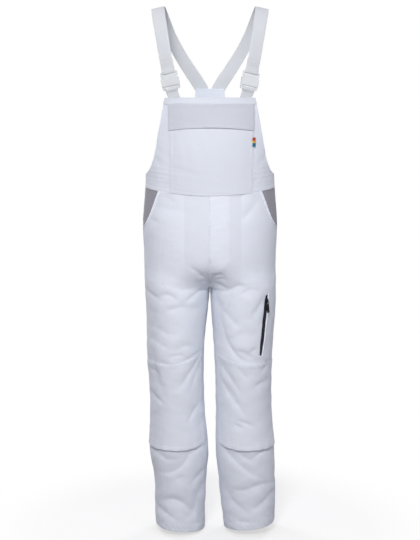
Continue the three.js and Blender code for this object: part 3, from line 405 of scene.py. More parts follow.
def mouth_u(z):
    share = lerp(1, MOUTH_X / WAIST_HALF, ramp(MOUTH_Z, WAIST_Z, z))
    return (2 / math.pi) * np.arccos(share)


def slit_middle(z):
    return lerp(0.305, 0.25, ramp(SLIT_FOOT_Z, SLIT_TOP_Z, z))


def slit_half(z):
    middle, half = (SLIT_TOP_Z + SLIT_FOOT_Z) / 2, (SLIT_TOP_Z - SLIT_FOOT_Z) / 2
    far = np.minimum(np.abs(z - middle) / half, 1)
    return SLIT_HALF * (1 - 0.45 * far**4) / (math.pi * 95)


def row_height(side, face, u, row):
    """The real height: the waist seam dips, and the patch's edges and the hem slant."""
    tilt = lerp(-8, 12, u) + (-3 if side == "left" else 3)
    z = row - tilt * ramp(PATCH_FOOT_Z - 60, HEM_Z, row)
    if face == "front":
        x = np.abs(torso_point(side, face, u, WAIST_Z + 0 * u)[..., 0])
        z = z - waist_drop_at(x) * ramp(-650, WAIST_Z, row)
        top = np.minimum(ramp(-922, PATCH_TOP_Z, row), ramp(PATCH_MIDDLE_Z, PATCH_TOP_Z, row))
        foot = np.minimum(ramp(PATCH_MIDDLE_Z, PATCH_FOOT_Z, row), ramp(-1440, PATCH_FOOT_Z, row))
        z = z + PATCH_TOP_RISE * ease(ramp(0.45, 0.95, u)) * top
        z = z + PATCH_FOOT_RISE * ease(ramp(0.5, 0.95, u)) * foot
    return z


def panel_point(side, face, s, row):
    start = mouth_u(row) if face == "front" else 0
    u = lerp(start, 1, s)
    return cloth_point(side, face, u, row_height(side, face, u, row))


def panel_width(side, face, rows):
    """The arc from a panel's outer edge to its inner edge at each row."""
    s = np.linspace(0, 1, 41)
    start = (mouth_u(rows) if face == "front" else 0 * rows)[:, None]
    u = lerp(start, 1, s[None])
    line = form_point(side, face, u, rows[:, None] + 0 * u)
    return np.linalg.norm(np.diff(line, axis=1), axis=2).sum(1)


def placed(side, face, s, row, lift=0.0):
    """Points on the panel moved out by lift, and the outward normals there."""
    s, row = np.broadcast_arrays(np.asarray(s, float), np.asarray(row, float))
    step_s, step_row = 0.004, 1.0
    along_s = panel_point(side, face, np.minimum(s + step_s, 1), row)
    along_s = along_s - panel_point(side, face, np.maximum(s - step_s, 0), row)
    up = panel_point(side, face, s, row + step_row) - panel_point(side, face, s, row - step_row)
    sense = SIDES[side] * (1 if face == "front" else -1)
    normal = unit(sense * np.cross(up, along_s))
    lift = np.asarray(lift, float)
    return panel_point(side, face, s, row) + normal * lift[..., None], normal


def steps_between(start, end, step, near):
    """Distances along a stretch: set ones near both ends and even ones between."""
    length = abs(end - start)
    near = [d for d in near if d == 0 or d < 0.42 * length]
    count = max(int((length - near[-1] - near[-1]) / step), 1) + 1
    inner = np.linspace(near[-1], length - near[-1], count)
    found = np.concatenate([near[:-1], inner, length - np.array(near[:-1])[::-1]])
    return start + math.copysign(1, end - start) * found


def rows_through(marks, step, near=(0, 1.2, 3)):
    """Heights from the first mark down to the last, with some close to each mark."""
    found = [marks[0]]
    for top, foot in zip(marks, marks[1:]):
        found += list(steps_between(top, foot, step, near))[1:]
    return np.array(found)


def panel_shares(width, step, edge=SEAM_EDGE, inner=SEAM_EDGE):
    """Column positions for rows of these widths, as shares: set distances at both edges."""
    typical = float(np.median(width))
    base = steps_between(edge, typical - inner, step, EDGE_STEPS)
    count = len(base)
    near_at = np.arange(count) < len(EDGE_STEPS)
    far_at = np.arange(count) >= count - len(EDGE_STEPS)
    share = base / typical
    left, right = base[near_at], typical - base[far_at]
    table = np.empty((len(width), count))
    for k, w in enumerate(width):
        low, high = left / w, 1 - right / w
        middle = (share - share[near_at][-1]) / (share[far_at][0] - share[near_at][-1])
        table[k] = lerp(low[-1], high[0], middle)
        table[k, near_at], table[k, far_at] = low, high
    return table


def each_row(rows, like):
    """The rows' heights, repeated over the columns of another grid."""
    return np.repeat(rows[:, None], like.shape[1], 1)


# ------------------------------------------------------------------ meshes
def placed_in_scene(name, data):
    obj = bpy.data.objects.new(name, data)
    bpy.context.scene.collection.objects.link(obj)
    return obj


def new_object(name, points, faces, uv=None, painted_shading=None):
    """A smooth mesh from points in mm and quads, with the weave's map and a painted light and shade value.
    """
    mesh = bpy.data.meshes.new(name)
    used, faces = np.unique(faces, return_inverse=True)
    faces = faces.reshape(-1, 4)
    mesh.vertices.add(len(used))
    mesh.vertices.foreach_set("co", (points[used] * MM).astype(np.float32).ravel())
    mesh.loops.add(faces.size)
    mesh.loops.foreach_set("vertex_index", faces.astype(np.int32).ravel())
    mesh.polygons.add(len(faces))
    mesh.polygons.foreach_set("loop_start", np.arange(0, faces.size, 4, dtype=np.int32))
    mesh.update(calc_edges=True)
    mesh.shade_smooth()
    if uv is not None:
        layer = mesh.uv_layers.new(name="weave")
        layer.data.foreach_set("uv", (uv[used][faces.ravel()] * MM).astype(np.float32).ravel())
    values = np.zeros(len(used)) if painted_shading is None else painted_shading[used]
    mesh.attributes.new("painted_shading", "FLOAT", "POINT").data.foreach_set("value", values.astype(np.float32))
    mesh.validate()
    return placed_in_scene(name, mesh)


def shell(name, points, low, high, keep=None, painted_shading=0.0, clear=None):
    """A closed wall of cloth with rounded edges, between two distances out from a grid.

    The grid's columns and rows turn so that its cross product points outward.
    """
    rows, columns = points.shape[:2]
    along = np.gradient(points, axis=1)
    down = np.gradient(points, axis=0)
    normal = unit(np.cross(along, down))
    keep = np.ones((rows - 1, columns - 1), bool) if keep is None else keep
    low, high = np.broadcast_to(low, (rows, columns)), np.broadcast_to(high, (rows, columns))
    index = np.arange(rows * columns).reshape(rows, columns)
    corners = [index[:-1, :-1], index[:-1, 1:], index[1:, 1:], index[1:, :-1]]
    outside = np.pad(~keep, 1, constant_values=True)
    beyond = [outside[:-2, 1:-1], outside[1:-1, 2:], outside[2:, 1:-1], outside[1:-1, :-2]]
    flat_points, flat_normals = points.reshape(-1, 3), normal.reshape(-1, 3)
    tangent = np.zeros_like(flat_points)
    edges = []
    for k in range(4):
        here = keep & beyond[k]
        start, end = corners[k][here], corners[(k + 1) % 4][here]
        edges.append(np.stack([start, end], 1))
        out = unit(np.cross(flat_points[end] - flat_points[start], flat_normals[start]))
        np.add.at(tangent, start, out)
        np.add.at(tangent, end, out)
    edges = np.concatenate(edges)
    low, high = low.reshape(-1, 1), high.reshape(-1, 1)
    outer = flat_points + flat_normals * high
    inner = flat_points + flat_normals * low
    rim = flat_points + flat_normals * (low + high) / 2 + unit(tangent) * 0.45 * (high - low)
    everything = np.vstack([outer, inner, rim])
    if clear is not None:
        everything[:, 0] = clear * np.maximum(clear * everything[:, 0], 0.15)
    count = rows * columns
    quads = np.stack([c[keep] for c in corners], 1)
    p, q = edges[:, 0], edges[:, 1]
    faces = [
        quads, quads[:, ::-1] + count, np.stack([q, p, p + 2 * count, q + 2 * count], 1),
        np.stack([q + 2 * count, p + 2 * count, p + count, q + count], 1),
    ]
    across = np.cumsum(np.linalg.norm(np.diff(points, axis=1, prepend=points[:, :1]), axis=2), axis=1)
    across = across - across[:, columns // 2 : columns // 2 + 1]
    downward = np.cumsum(np.linalg.norm(np.diff(points, axis=0, prepend=points[:1]), axis=2), axis=0)
    downward = np.broadcast_to(downward.mean(1, keepdims=True), across.shape)
    uv = np.tile(np.stack([across, downward], -1).reshape(-1, 2), (3, 1))
    painted_shading = np.tile(np.broadcast_to(painted_shading, (rows, columns)).reshape(-1), 3)
    return new_object(name, everything, np.concatenate(faces), uv, painted_shading)


def outward(side, face, *grids):
    """Grids whose columns run from the side seam inward, turned to face outward."""
    if SIDES[side] * (1 if face == "front" else -1) > 0:
        return grids
    return tuple(g[:, ::-1] for g in grids)


STITCHES = {}
STITCH_PITCH, STITCH_LENGTH, THREAD = 3.3, 2.7, 0.27


def stitch_along(group, points, normals, pitch=STITCH_PITCH, length=STITCH_LENGTH):
    """A row of stitches along a line of points on the cloth, kept until the end."""
    step = np.linalg.norm(np.diff(points, axis=0), axis=1)
    along = np.concatenate([[0], np.cumsum(step)])
    count = int((along[-1] - length) / pitch)
    if count < 1:
        return
    start = 0.5 * (along[-1] - count * pitch) + pitch * np.arange(count)
    rings = start[:, None] + length * np.array([0, 0.22, 0.78, 1])
    def at(values, s):
        return np.stack([np.interp(s, along, values[:, k]) for k in range(3)], -1)
    centre, normal = at(points, rings), unit(at(normals, rings))
    tangent = unit(at(points, rings + 0.3) - at(points, rings - 0.3))
    across = np.cross(tangent, normal)
    height = np.array([-0.15, 0.16, 0.16, -0.15])[None, :, None]
    half = THREAD * np.array([0.35, 1, 1, 0.35])[None, :, None]
    centre = centre + normal * height
    ring = np.stack([centre + across * half, centre + normal * half * 0.8,
                     centre - across * half, centre - normal * half * 0.8], 2)
    STITCHES.setdefault(group, []).append(ring.reshape(-1, 4, 4, 3))


def build_stitches():
    for group, runs in STITCHES.items():
        rings = np.concatenate(runs)
        count = len(rings)
        index = np.arange(count * 16).reshape(count, 4, 4)
        faces = [index[:, 0], index[:, 3, ::-1]]
        for k in range(3):
            for j in range(4):
                i = (j + 1) % 4
                quad = [index[:, k, j], index[:, k + 1, j], index[:, k + 1, i], index[:, k, i]]
                faces.append(np.stack(quad, 1))
        obj = new_object(f"stitches_{group}", rings.reshape(-1, 3), np.concatenate(faces))
        finish_piece(obj, "thread")


def sew(group, side, face, s, row, lift, *sizes):
    """A row of stitches along a trouser panel."""
    points, normals = placed(side, face, s, row, lift)
    stitch_along(group, points, normals, *sizes)


# ------------------------------------------------------------------ materials
class Nodes:
    """A short way to lay out a material's nodes."""

    def __init__(self, name):
        self.material = bpy.data.materials.new(name)
        self.material.use_nodes = True
        self.tree = self.material.node_tree
        self.shader = self.tree.nodes["Principled BSDF"]

    def add(self, kind, **values):
        node = self.tree.nodes.new(kind)
        for key, value in values.items():
            if hasattr(node, key):
                setattr(node, key, value)
            else:
                node.inputs[key.replace("_", " ")].default_value = value
        return node

    def join(self, source, target, into=0):
        output = source if isinstance(source, bpy.types.NodeSocket) else source.outputs[0]
        self.tree.links.new(output, target.inputs[into])
        return target

    def math(self, operation, a, b=0.0, c=0.0):
        node = self.tree.nodes.new("ShaderNodeMath")
        node.operation = operation
        for k, value in enumerate((a, b, c)):
            if isinstance(value, (int, float)):
                node.inputs[k].default_value = value
            else:
                self.join(value, node, k)
        return node.outputs[0]

    def noise(self, scale, detail=3.0, roughness=0.5):
        place = self.add("ShaderNodeTexCoord").outputs["Object"]
        node = self.add("ShaderNodeTexNoise", Scale=scale, Detail=detail, Roughness=roughness)
        return self.join(place, node).outputs[0]

    def mix(self, share, dark, light):
        node = self.add("ShaderNodeMix", data_type="RGBA")
        self.join(share, node, 0)
        for socket, value in ((6, dark), (7, light)):
            if isinstance(value, tuple):
                node.inputs[socket].default_value = (*value, 1)
            else:
                self.join(value, node, socket)
        return node.outputs[2]

    def scaled(self, colour, share):
        node = self.add("ShaderNodeVectorMath", operation="SCALE")
        self.join(colour, node, 0)
        self.join(share, node, 3)
        return node

    def bump(self, height, distance, strength=1.0, under=None):
        node = self.add("ShaderNodeBump", Distance=distance, Strength=strength)
        self.join(height, node, node.inputs.find("Height"))
        if under is not None:
            self.join(under, node, node.inputs.find("Normal"))
        return node.outputs[0]

    def finish(self, colour, roughness, normal, **constants):
        self.join(colour, self.shader, self.shader.inputs.find("Base Color"))
        self.join(roughness, self.shader, self.shader.inputs.find("Roughness"))
        if normal is not None:
            self.join(normal, self.shader, self.shader.inputs.find("Normal"))
        for key, value in constants.items():
            self.shader.inputs[key.replace("_", " ")].default_value = value
        return self.material


def weave_axes(n):
    place = n.add("ShaderNodeUVMap", uv_map="weave")
    parts = n.add("ShaderNodeSeparateXYZ")
    n.join(place, parts)
    return parts.outputs[0], parts.outputs[1]


def wave_of(n, value, pitch):
    """0 to 1 and back once in each pitch."""
    angle = n.math("MULTIPLY", value, 2 * math.pi / pitch)
    return n.math("MULTIPLY_ADD", n.math("SINE", angle), 0.5, 0.5)


def shifted(colour, share):
    return tuple(min(c * share, 1) for c in colour)


def twill(name, colour, pitch=0.0009, depth=0.00007, contrast=0.06, sheen=0.15):
    """A diagonal twill: ribs across the warp, slight slubs and a soft uneven tone."""
    n = Nodes(name)
    across, down = weave_axes(n)
    slant = n.math("MULTIPLY_ADD", down, 0.85, across)
    rib = wave_of(n, slant, pitch)
    pick = wave_of(n, n.math("MULTIPLY_ADD", across, -0.6, down), pitch * 0.55)
    weave = n.math("MULTIPLY_ADD", pick, 0.35, n.math("MULTIPLY", rib, 0.65))
    slubs = n.noise(900, 2)
    mottle = n.noise(9, 4, 0.55)
    patchy = n.noise(2.4, 2)
    shade = n.math("MULTIPLY_ADD", weave, contrast, 1 - contrast)
    painted_shading = n.add("ShaderNodeAttribute", attribute_name="painted_shading").outputs["Fac"]
    tone = n.mix(mottle, shifted(colour, 0.955), shifted(colour, 1.03))
    tone = n.mix(n.math("MULTIPLY", patchy, 0.5), tone, (colour[0] * 0.96, colour[1] * 0.97, colour[2]))
    # Painted light and shade: each mesh's value makes the cloth 5% lighter or darker a step.
    lit = n.math("MULTIPLY", shade, n.math("MULTIPLY_ADD", painted_shading, 0.05, 1.0))
    scale = n.scaled(tone, lit)
    rough = n.math("MULTIPLY_ADD", mottle, 0.1, 0.84)
    normal = n.bump(n.noise(38, 3, 0.55), 0.0011, 0.55)
    normal = n.bump(n.noise(130, 3, 0.6), 0.0003, 0.5, normal)
    normal = n.bump(n.math("MULTIPLY_ADD", slubs, 0.4, weave), depth, 0.8, normal)
    return n.finish(scale, rough, normal, Sheen_Weight=sheen, Sheen_Roughness=0.5, IOR=1.4,
                    Specular_IOR_Level=0.25)


def webbing(name, colour, ribs=0.0022, picks=0.0012):
    """Elastic webbing: ribs along its length crossed by fine picks."""
    n = Nodes(name)
    across, down = weave_axes(n)
    rib = wave_of(n, across, ribs)
    zigzag = n.math("PINGPONG", across, ribs / 2)
    pick = wave_of(n, n.math("MULTIPLY_ADD", zigzag, 1.0, down), picks)
    weave = n.math("MULTIPLY_ADD", pick, 0.45, n.math("MULTIPLY", rib, 0.55))
    mottle = n.noise(14, 4)
    tone = n.mix(mottle, shifted(colour, 0.95), shifted(colour, 1.02))
    scale = n.scaled(tone, n.math("MULTIPLY_ADD", weave, 0.12, 0.88))
    normal = n.bump(weave, 0.00022, 0.9)
    return n.finish(scale, n.math("MULTIPLY_ADD", mottle, 0.12, 0.72), normal, Sheen_Weight=0.1,
                    Sheen_Roughness=0.4, Specular_IOR_Level=0.3)


def moulded(name, colour, roughness, metallic=0.0, grain=0.00004):
    """Moulded plastic or coated metal, with a faint grain and dust-dulled spots."""
    n = Nodes(name)
    mottle = n.noise(45, 4)
    tone = n.mix(mottle, shifted(colour, 0.93), shifted(colour, 1.03))
    rough = n.math("MULTIPLY_ADD", mottle, 0.16, roughness - 0.08)
    normal = n.bump(n.noise(1400, 2), grain, 0.5)
    return n.finish(tone, rough, normal, Metallic=metallic, Specular_IOR_Level=0.5)


def thread(name, colour):
    n = Nodes(name)
    twist = n.noise(2600, 2)
    tone = n.mix(twist, shifted(colour, 0.85), colour)
    return n.finish(tone, n.math("MULTIPLY_ADD", twist, 0.2, 0.6), n.bump(twist, 0.0001, 0.6),
                    Sheen_Weight=0.1)


TAB_LONG, TAB_STOPS = 0.023, (0.36, 0.66)  # the tab's length, m, and where its bands change


def banded_tab():
    """A plain woven tab with three bands of colour across it and no words."""
    n = Nodes("woven_tab")
    _, down = weave_axes(n)
    bands = n.add("ShaderNodeValToRGB")
    ramp_of = bands.color_ramp
    ramp_of.interpolation = "CONSTANT"
    ramp_of.elements[0].color = (0.5, 0.03, 0.03, 1)
    ramp_of.elements[1].position, ramp_of.elements[1].color = TAB_STOPS[0], (0.75, 0.42, 0.05, 1)
    ramp_of.elements.new(TAB_STOPS[1]).color = (0.02, 0.16, 0.3, 1)
    n.join(n.math("MULTIPLY", down, 1 / TAB_LONG), bands)
    ribs = wave_of(n, down, 0.0006)
    scale = n.scaled(bands, n.math("MULTIPLY_ADD", ribs, 0.15, 0.85))
    return n.finish(scale, n.math("MULTIPLY_ADD", ribs, 0.1, 0.7), n.bump(ribs, 0.00005, 0.8))


WHITE = (0.80, 0.835, 0.915)
LOOKS = {
    "white": twill("white_twill", WHITE),
    "grey": twill("grey_twill", (0.40, 0.385, 0.43), contrast=0.3),
    "lining": twill("pocketing", shifted(WHITE, 0.94), pitch=0.0006, depth=0.00004),
    "tape": twill("zip_tape", (0.035, 0.03, 0.05), pitch=0.0005, contrast=0.2, sheen=0.05),
    "label": banded_tab(),
    "webbing": webbing("elastic_webbing", (0.685, 0.71, 0.745)),
    "plastic": moulded("white_acetal", (0.70, 0.725, 0.755), 0.34),
    "metal": moulded("dark_coated_metal", (0.05, 0.048, 0.058), 0.38, metallic=0.85),
    "teeth": moulded("zip_coil", (0.035, 0.033, 0.045), 0.42),
    "thread": thread("sewing_thread", (0.84, 0.865, 0.92)),
}


def finish_piece(obj, look, replaces=None, body="garment"):
    obj.data.materials.clear()
    obj.data.materials.append(LOOKS[look])
    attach(obj, body)
    if replaces:
        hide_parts(replaces)


def cloth_piece(obj, node, flat, look="white", area=None):
    """A sheet that stands for a CAD node: it gets a material, joins the garment and hides the node. flat =
    (width, length) in mm is not used.
    """
    finish_piece(obj, look, node)
    size = tuple(value * MM for value in flat)
    area = None if area is None else area * size[0] * size[1]


# ------------------------------------------------------------------ the trousers
PATCH_STAND = 4.0  # the knee patch's lower edge stands this far off the leg


def patch_ease(s):
    """The patch's lower edge stands off most in its middle."""
    return 0.35 + 0.65 * ease(ramp(0, 0.3, s)) * ease(ramp(PATCH_EDGE, 0.7, s))


def seam_puckers(distance, row, seed):
    """Small ripples that a seam draws into the cloth beside it."""
    at = np.stack([0 * row, 0 * row, row], -1)
    wander = ripple(at, 90, seed)
    return 0.28 * np.sin(2 * math.pi * row / 12.5 + 3 * wander) * np.exp(-(distance / 13) ** 2)


def lap(distance, width=9.0, height=0.55):
    """A felled seam: a doubled strip, with dimples where two rows of stitches pull it in."""
    raised = height * (1 - ease(ramp(width, width + 1.8, distance)))
    return raised - 0.22 * bump_at(distance, 2, 0.9) - 0.22 * bump_at(distance, width - 2, 0.9)


def hem_relief(side, face, s, row):
    above = row - HEM_Z
    turned = 0.5 * (1 - ease(ramp(HEM_TURN, HEM_TURN + 2, above)))
    place = panel_point(side, face, s, row)
    slant = place[..., 0] + place[..., 1] + 0.8 * above
    roping = np.sin(2 * math.pi * slant / 15 + 2 * ripple(place, 80, 21))
    roping = 0.32 * roping * (1 - ramp(HEM_TURN, HEM_TURN + 8, above))
    return turned - 0.3 * bump_at(above, HEM_TURN - 2, 1.2) + roping


def fly_distance(x, z):
    """How far a point of the left front lies inside the fly's stitched edge."""
    far = ramp(FLY_BEND_Z, FLY_FOOT_Z, z)
    return FLY_WIDTH * np.sqrt(np.maximum(1 - far * far, 0)) - x


def front_relief(side, s, row, width):
    d_side = s * width[:, None]
    d_in = (1 - s) * width[:, None]
    point = panel_point(side, "front", s, row)
    x, z = np.abs(point[..., 0]), point[..., 2]
    lift = seam_puckers(d_side, row, 31) * ramp(MOUTH_Z - 10, MOUTH_Z - 40, row)
    lift += seam_puckers(d_in, row, 33)
    # Painted light and shade: the fly and the hip over the pocket bag are drawn lighter, and the rest of
    # the upper front darker.
    painted_shading = np.zeros(s.shape)
    if side == "left":
        inside = fly_distance(x, z)
        fly = ease(ramp(-0.6, 1.2, inside)) * ramp(FLY_FOOT_Z - 1, FLY_FOOT_Z + 4, z)
        lift += 0.55 * fly - 0.3 * bump_at(inside, 2, 1.1) * (z > FLY_FOOT_Z)
        lift += 0.35 * fly * ripple(point, 24, 51, (0.7, 1, 1.3))
        painted_shading += 0.95 * fly
    bag = ramp(BAG_EDGE_X[side] - 1.5, BAG_EDGE_X[side] + 1.5, x) * ramp(BAG_FOOT_Z - 2, BAG_FOOT_Z + 2, z)
    lift += 0.5 * ease(bag)
    painted_shading += 0.4 * bag * ramp(WAIST_Z - 20, WAIST_Z - 60, z)
    painted_shading -= 0.75 * (1 - bag) * ease(ramp(FLY_FOOT_Z - 10, FLY_FOOT_Z + 70, z))
    lift += hem_relief(side, "front", s, row)
    return lift, painted_shading


for side in SIDES:
    marks = [WAIST_Z, MOUTH_Z, SLIT_TOP_Z, SLIT_FOOT_Z, PATCH_TOP_Z, PATCH_FOOT_Z, HEM_Z]
    rows = rows_through(marks, FINE_STEP)
    width = panel_width(side, "front", rows)
    s = panel_shares(width, 3.2)
    row = each_row(rows, s)
    keep = np.ones((s.shape[0] - 1, s.shape[1] - 1), bool)
    if side == "left":
        # The columns part round the zipped slit.
        middle, half = slit_middle(row), slit_half(row)
        nominal = 0.28
        column = np.abs(s[len(rows) // 3] - nominal).argmin()
        start = s[:, column : column + 1]
        end = s[:, column + 1 : column + 2]
        below = lerp(0, middle - half, s / start)
        above = lerp(middle + half, 1, (s - end) / (1 - end))
        s = np.where(np.arange(s.shape[1]) <= column, below, above)
        between = (rows[:-1] <= SLIT_TOP_Z + 0.01) & (rows[1:] >= SLIT_FOOT_Z - 0.01)
        keep[between, column] = False
    lift, painted_shading = front_relief(side, s, row, width)
    points = panel_point(side, "front", s, row)
    points, lift, painted_shading, keep = outward(side, "front", points, lift, painted_shading, keep)
    obj = shell(f"cloth_front_leg_{side}", points, lift - CLOTH, lift, keep, painted_shading, SIDES[side])
    cloth_piece(obj, f"front_leg_{side}", (300, 1030), area=0.9)

    marks = [WAIST_Z, CROTCH_Z, HEM_Z]
    rows = rows_through(marks, 3.8)
    width = panel_width(side, "back", rows)
    s = panel_shares(width, 3.8)
    row = each_row(rows, s)
    d_side, d_in = s * width[:, None], (1 - s) * width[:, None]
    lift = lap(d_side) + lap(d_in) + hem_relief(side, "back", s, row)
    lift += seam_puckers(d_side, row, 41) + seam_puckers(d_in, row, 43)
    points = panel_point(side, "back", s, row)
    points, lift = outward(side, "back", points, lift)
    obj = shell(f"cloth_back_leg_{side}", points, lift - CLOTH - 0.4, lift, clear=SIDES[side])
    cloth_piece(obj, f"back_leg_{side}", (320, 1010), area=0.95)

    # The knee patch lies on the front, and its lower edge stands a little off it.
    rows = rows_through([PATCH_TOP_Z, PATCH_FOOT_Z], FINE_STEP, EDGE_STEPS)
    width = panel_width(side, "front", rows)
    s = panel_shares(width * PATCH_EDGE, 3.2, 0.6, 0.0) * PATCH_EDGE
    row = each_row(rows, s)
    d_in, d_top, d_foot = (PATCH_EDGE - s) * width[:, None], PATCH_TOP_Z - row, row - PATCH_FOOT_Z
    edge = np.minimum(d_in, np.minimum(d_top, d_foot))
    stand = PATCH_STAND * patch_ease(s)
    lift = GAP + CLOTH + stand * ramp(PATCH_MIDDLE_Z, PATCH_FOOT_Z, row) ** 5
    lift = lift + 0.45 * (1 - ease(ramp(9, 11, edge))) - 0.25 * bump_at(edge, 2, 0.9)
    lift = lift + seam_puckers(d_in, row, 45) + seam_puckers(d_top, s * 280, 46)
    ruffle = np.sin(2 * math.pi * s * 290 / 34 + 1.5) * ramp(40, 0, d_foot) ** 2
    lift = lift + 0.7 * ruffle * stand / PATCH_STAND
    points = panel_point(side, "front", s, row)
    points, lift = outward(side, "front", points, lift)
    obj = shell(f"cloth_knee_patch_{side}", points, lift - CLOTH, lift)
    cloth_piece(obj, f"knee_patch_{side}", (245, 262))

    # Inside the hip: the grey facing behind the pocket's mouth, and the pocket bag.
    rows = rows_through([WAIST_Z, MOUTH_Z], 4)
    mouth = np.maximum(mouth_u(rows), 0.03)
    under = lerp(mouth_u(rows), 1, 0.12)
    u = 0.0016 + np.linspace(0, 1, 26)[None] * (under[:, None] - 0.0016)
    row = each_row(rows, u)
    points = cloth_point(side, "front", u, row_height(side, "front", u, row))
    visible = ramp(0, 8, (mouth[:, None] - u) * 290)
    depth = lerp(2.3, 1.3, ease(visible))
    points, depth = outward(side, "front", points, depth)
    obj = shell(f"cloth_hip_facing_{side}", points, -depth - CLOTH, -depth)
    cloth_piece(obj, f"hip_facing_{side}", (92, 118), "grey", area=0.85)

    rows = rows_through([-530, BAG_FOOT_Z], 5)
    s_bag = np.linspace(0, 1, 30)[None]
    inner = np.interp(BAG_EDGE_X[side], [60, 190], [0.62, 0.06])
    u = lerp(0.03, inner, s_bag) + 0 * rows[:, None]
    row = each_row(rows, u)
    points = cloth_point(side, "front", u, row_height(side, "front", u, row))
    (points,) = outward(side, "front", points)
    obj = shell(f"cloth_pocket_bag_{side}", points, -5.8, -5.0)
    flat = (BAG_WIDTH[side], 238)
    cloth_piece(obj, f"pocket_bag_{side}", flat, "lining")

    # The binding along the pocket's mouth, drawn brighter than the same twill: a painted highlight.
    rows = rows_through([WAIST_Z, MOUTH_Z], 3)
    width = panel_width(side, "front", rows)
    d = np.array([0.3, 1.2, 2.4, 4, 5.6, 7, 8.2])
    s = d[None] / width[:, None]
    row = each_row(rows, s)
    lift = CLOTH + GAP + 0.35 * (1 - ((d[None] - 4.2) / 4.2) ** 2)
    lift = lift + seam_puckers(np.abs(d[None] - 6), row, 47)
    points = panel_point(side, "front", s, row)
    painted_shading = 4.0 + 0 * s
    points, lift, painted_shading = outward(side, "front", points, lift, painted_shading)
    obj = shell(f"cloth_pocket_binding_{side}", points, lift - CLOTH, lift, painted_shading=painted_shading)
    cloth_piece(obj, f"pocket_binding_{side}", (10, 132))

# Stitches on the trousers.
for side in SIDES:
    for face in ("front", "back"):
        rows = np.arange(WAIST_Z - 1, HEM_Z + 1, -2.0)
        width = panel_width(side, face, rows)
        if face == "back":
            for d in (2.0, 7.0):
                sew(f"back_{side}", side, face, d / width, rows, 0.3)
                sew(f"back_{side}", side, face, 1 - d / width, rows, 0.3)
        # The hem's row of stitches goes round the leg.
        s = np.linspace(0.004, 0.996, 150)
        sew(f"{face}_{side}", side, face, s, HEM_Z + HEM_TURN - 2 + 0 * s, 0.2)
        for drop in (2.0, 7.5):
            sew(f"{face}_{side}", side, face, s, WAIST_Z - drop + 0 * s, 0.1)
    # Round the knee patch: down its inner edge, and along its top in two rows.
    rows = np.arange(PATCH_TOP_Z - 2, PATCH_FOOT_Z + 2, -2.0)
    width = panel_width(side, "front", rows)
    for d in (2.0, 7.5):
        sew(f"front_{side}", side, "front", PATCH_EDGE - d / width, rows, GAP + CLOTH + 0.35)
        s = np.linspace(0.01, PATCH_EDGE - 0.01, 150)
        sew(f"front_{side}", side, "front", s, PATCH_TOP_Z - d + 0 * s, GAP + CLOTH + 0.35)
    s = np.linspace(0.01, PATCH_EDGE - 0.01, 150)
    foot_lift = GAP + CLOTH + 0.3 + 3.3 * patch_ease(s)
    sew(f"front_{side}", side, "front", s, PATCH_FOOT_Z + 5 + 0 * s, foot_lift)
    # The pocket binding's two rows.
    rows = np.arange(WAIST_Z - 2, MOUTH_Z + 1, -2.0)
    width = panel_width(side, "front", rows)
    for d in (1.8, 6.6):
        sew(f"front_{side}", side, "front", d / width, rows, CLOTH + GAP + 0.35)

# The fly's J, in two rows, on the left front.
def front_share_at(side, x, row):
    """The share at which the front reaches a distance x from the middle plane."""
    low, high = np.zeros(len(row)), np.ones(len(row))
    for _ in range(24):
        middle = (low + high) / 2
        far = np.abs(panel_point(side, "front", middle, row)[:, 0]) > x
        low, high = np.where(far, middle, low), np.where(far, high, middle)
    return (low + high) / 2


for inset in (2.0, 7.0):
    bend = np.linspace(FLY_BEND_Z, FLY_FOOT_Z + inset, 26)
    rows = np.concatenate([np.arange(WAIST_Z - 4, FLY_BEND_Z, -3.0), bend])
    far = ramp(FLY_BEND_Z, FLY_FOOT_Z + inset, rows)
    x = np.maximum((FLY_WIDTH - inset) * np.sqrt(np.maximum(1 - far * far, 0)), 1.5)
    share = front_share_at("left", x, rows)
    sew("front_left", "left", "front", share, rows, 0.3)
rows = np.arange(WAIST_Z - 4, CROTCH_Z + 6, -3.0)
width = panel_width("left", "front", rows)
sew("front_left", "left", "front", 1 - 1.6 / width, rows, 0.35)

# The fly's facing lies inside the left front.
rows = rows_through([WAIST_Z, FLY_FOOT_Z], 5)
far = ramp(FLY_BEND_Z, FLY_FOOT_Z, rows)
reach = np.maximum(FLY_WIDTH * np.sqrt(1 - far * far), 8)
outer_share = front_share_at("left", reach, rows)
s = lerp(outer_share[:, None], 0.996, np.linspace(0, 1, 14)[None])
points = panel_point("left", "front", s, np.repeat(rows[:, None], 14, 1))
obj = shell("cloth_fly_facing", points, -CLOTH - 2.0, -CLOTH - 1.2)
cloth_piece(obj, "fly_facing", (56, 235))

# ------------------------------------------------------------------ the thigh zip
def slit_edge(rows, outer):
    middle, half = slit_middle(rows), slit_half(rows)
    return middle - half if outer else middle + half


rows = rows_through([SLIT_TOP_Z + 3, SLIT_FOOT_Z - 3], 3)
width = panel_width("left", "front", rows)
edge = slit_edge(rows, True)
d = np.array([5.6, 4.6, 3.4, 2.2, 1, -0.1])
s = edge[:, None] - d[None] / width[:, None]
row = np.repeat(rows[:, None], len(d), 1)
lift = CLOTH + GAP + 0.3 * (1 - ((d[None] - 2.7) / 2.9) ** 2) + 0 * row
points = panel_point("left", "front", s, row)
# The welt along the slit's outer edge carries a painted highlight: the same white twill drawn brighter.
obj = shell("cloth_thigh_zip_welt", points, lift - CLOTH, lift, painted_shading=4.0 + 0 * s)
cloth_piece(obj, "thigh_zip_welt", (10, 182), area=0.6)

rows = rows_through([SLIT_TOP_Z + 12, SLIT_FOOT_Z - 14], 3)
width = panel_width("left", "front", rows)
d = np.linspace(-14, 14, 15)
s = slit_middle(rows)[:, None] + d[None] / width[:, None]
row = np.repeat(rows[:, None], len(d), 1)
points = panel_point("left", "front", s, row)
obj = shell("cloth_thigh_zip_tape", points, -CLOTH - 1.5, -CLOTH - 0.6)
under = ["cloth_front_leg_left"]
cloth_piece(obj, "thigh_zip_tape", (28, 205), "tape")

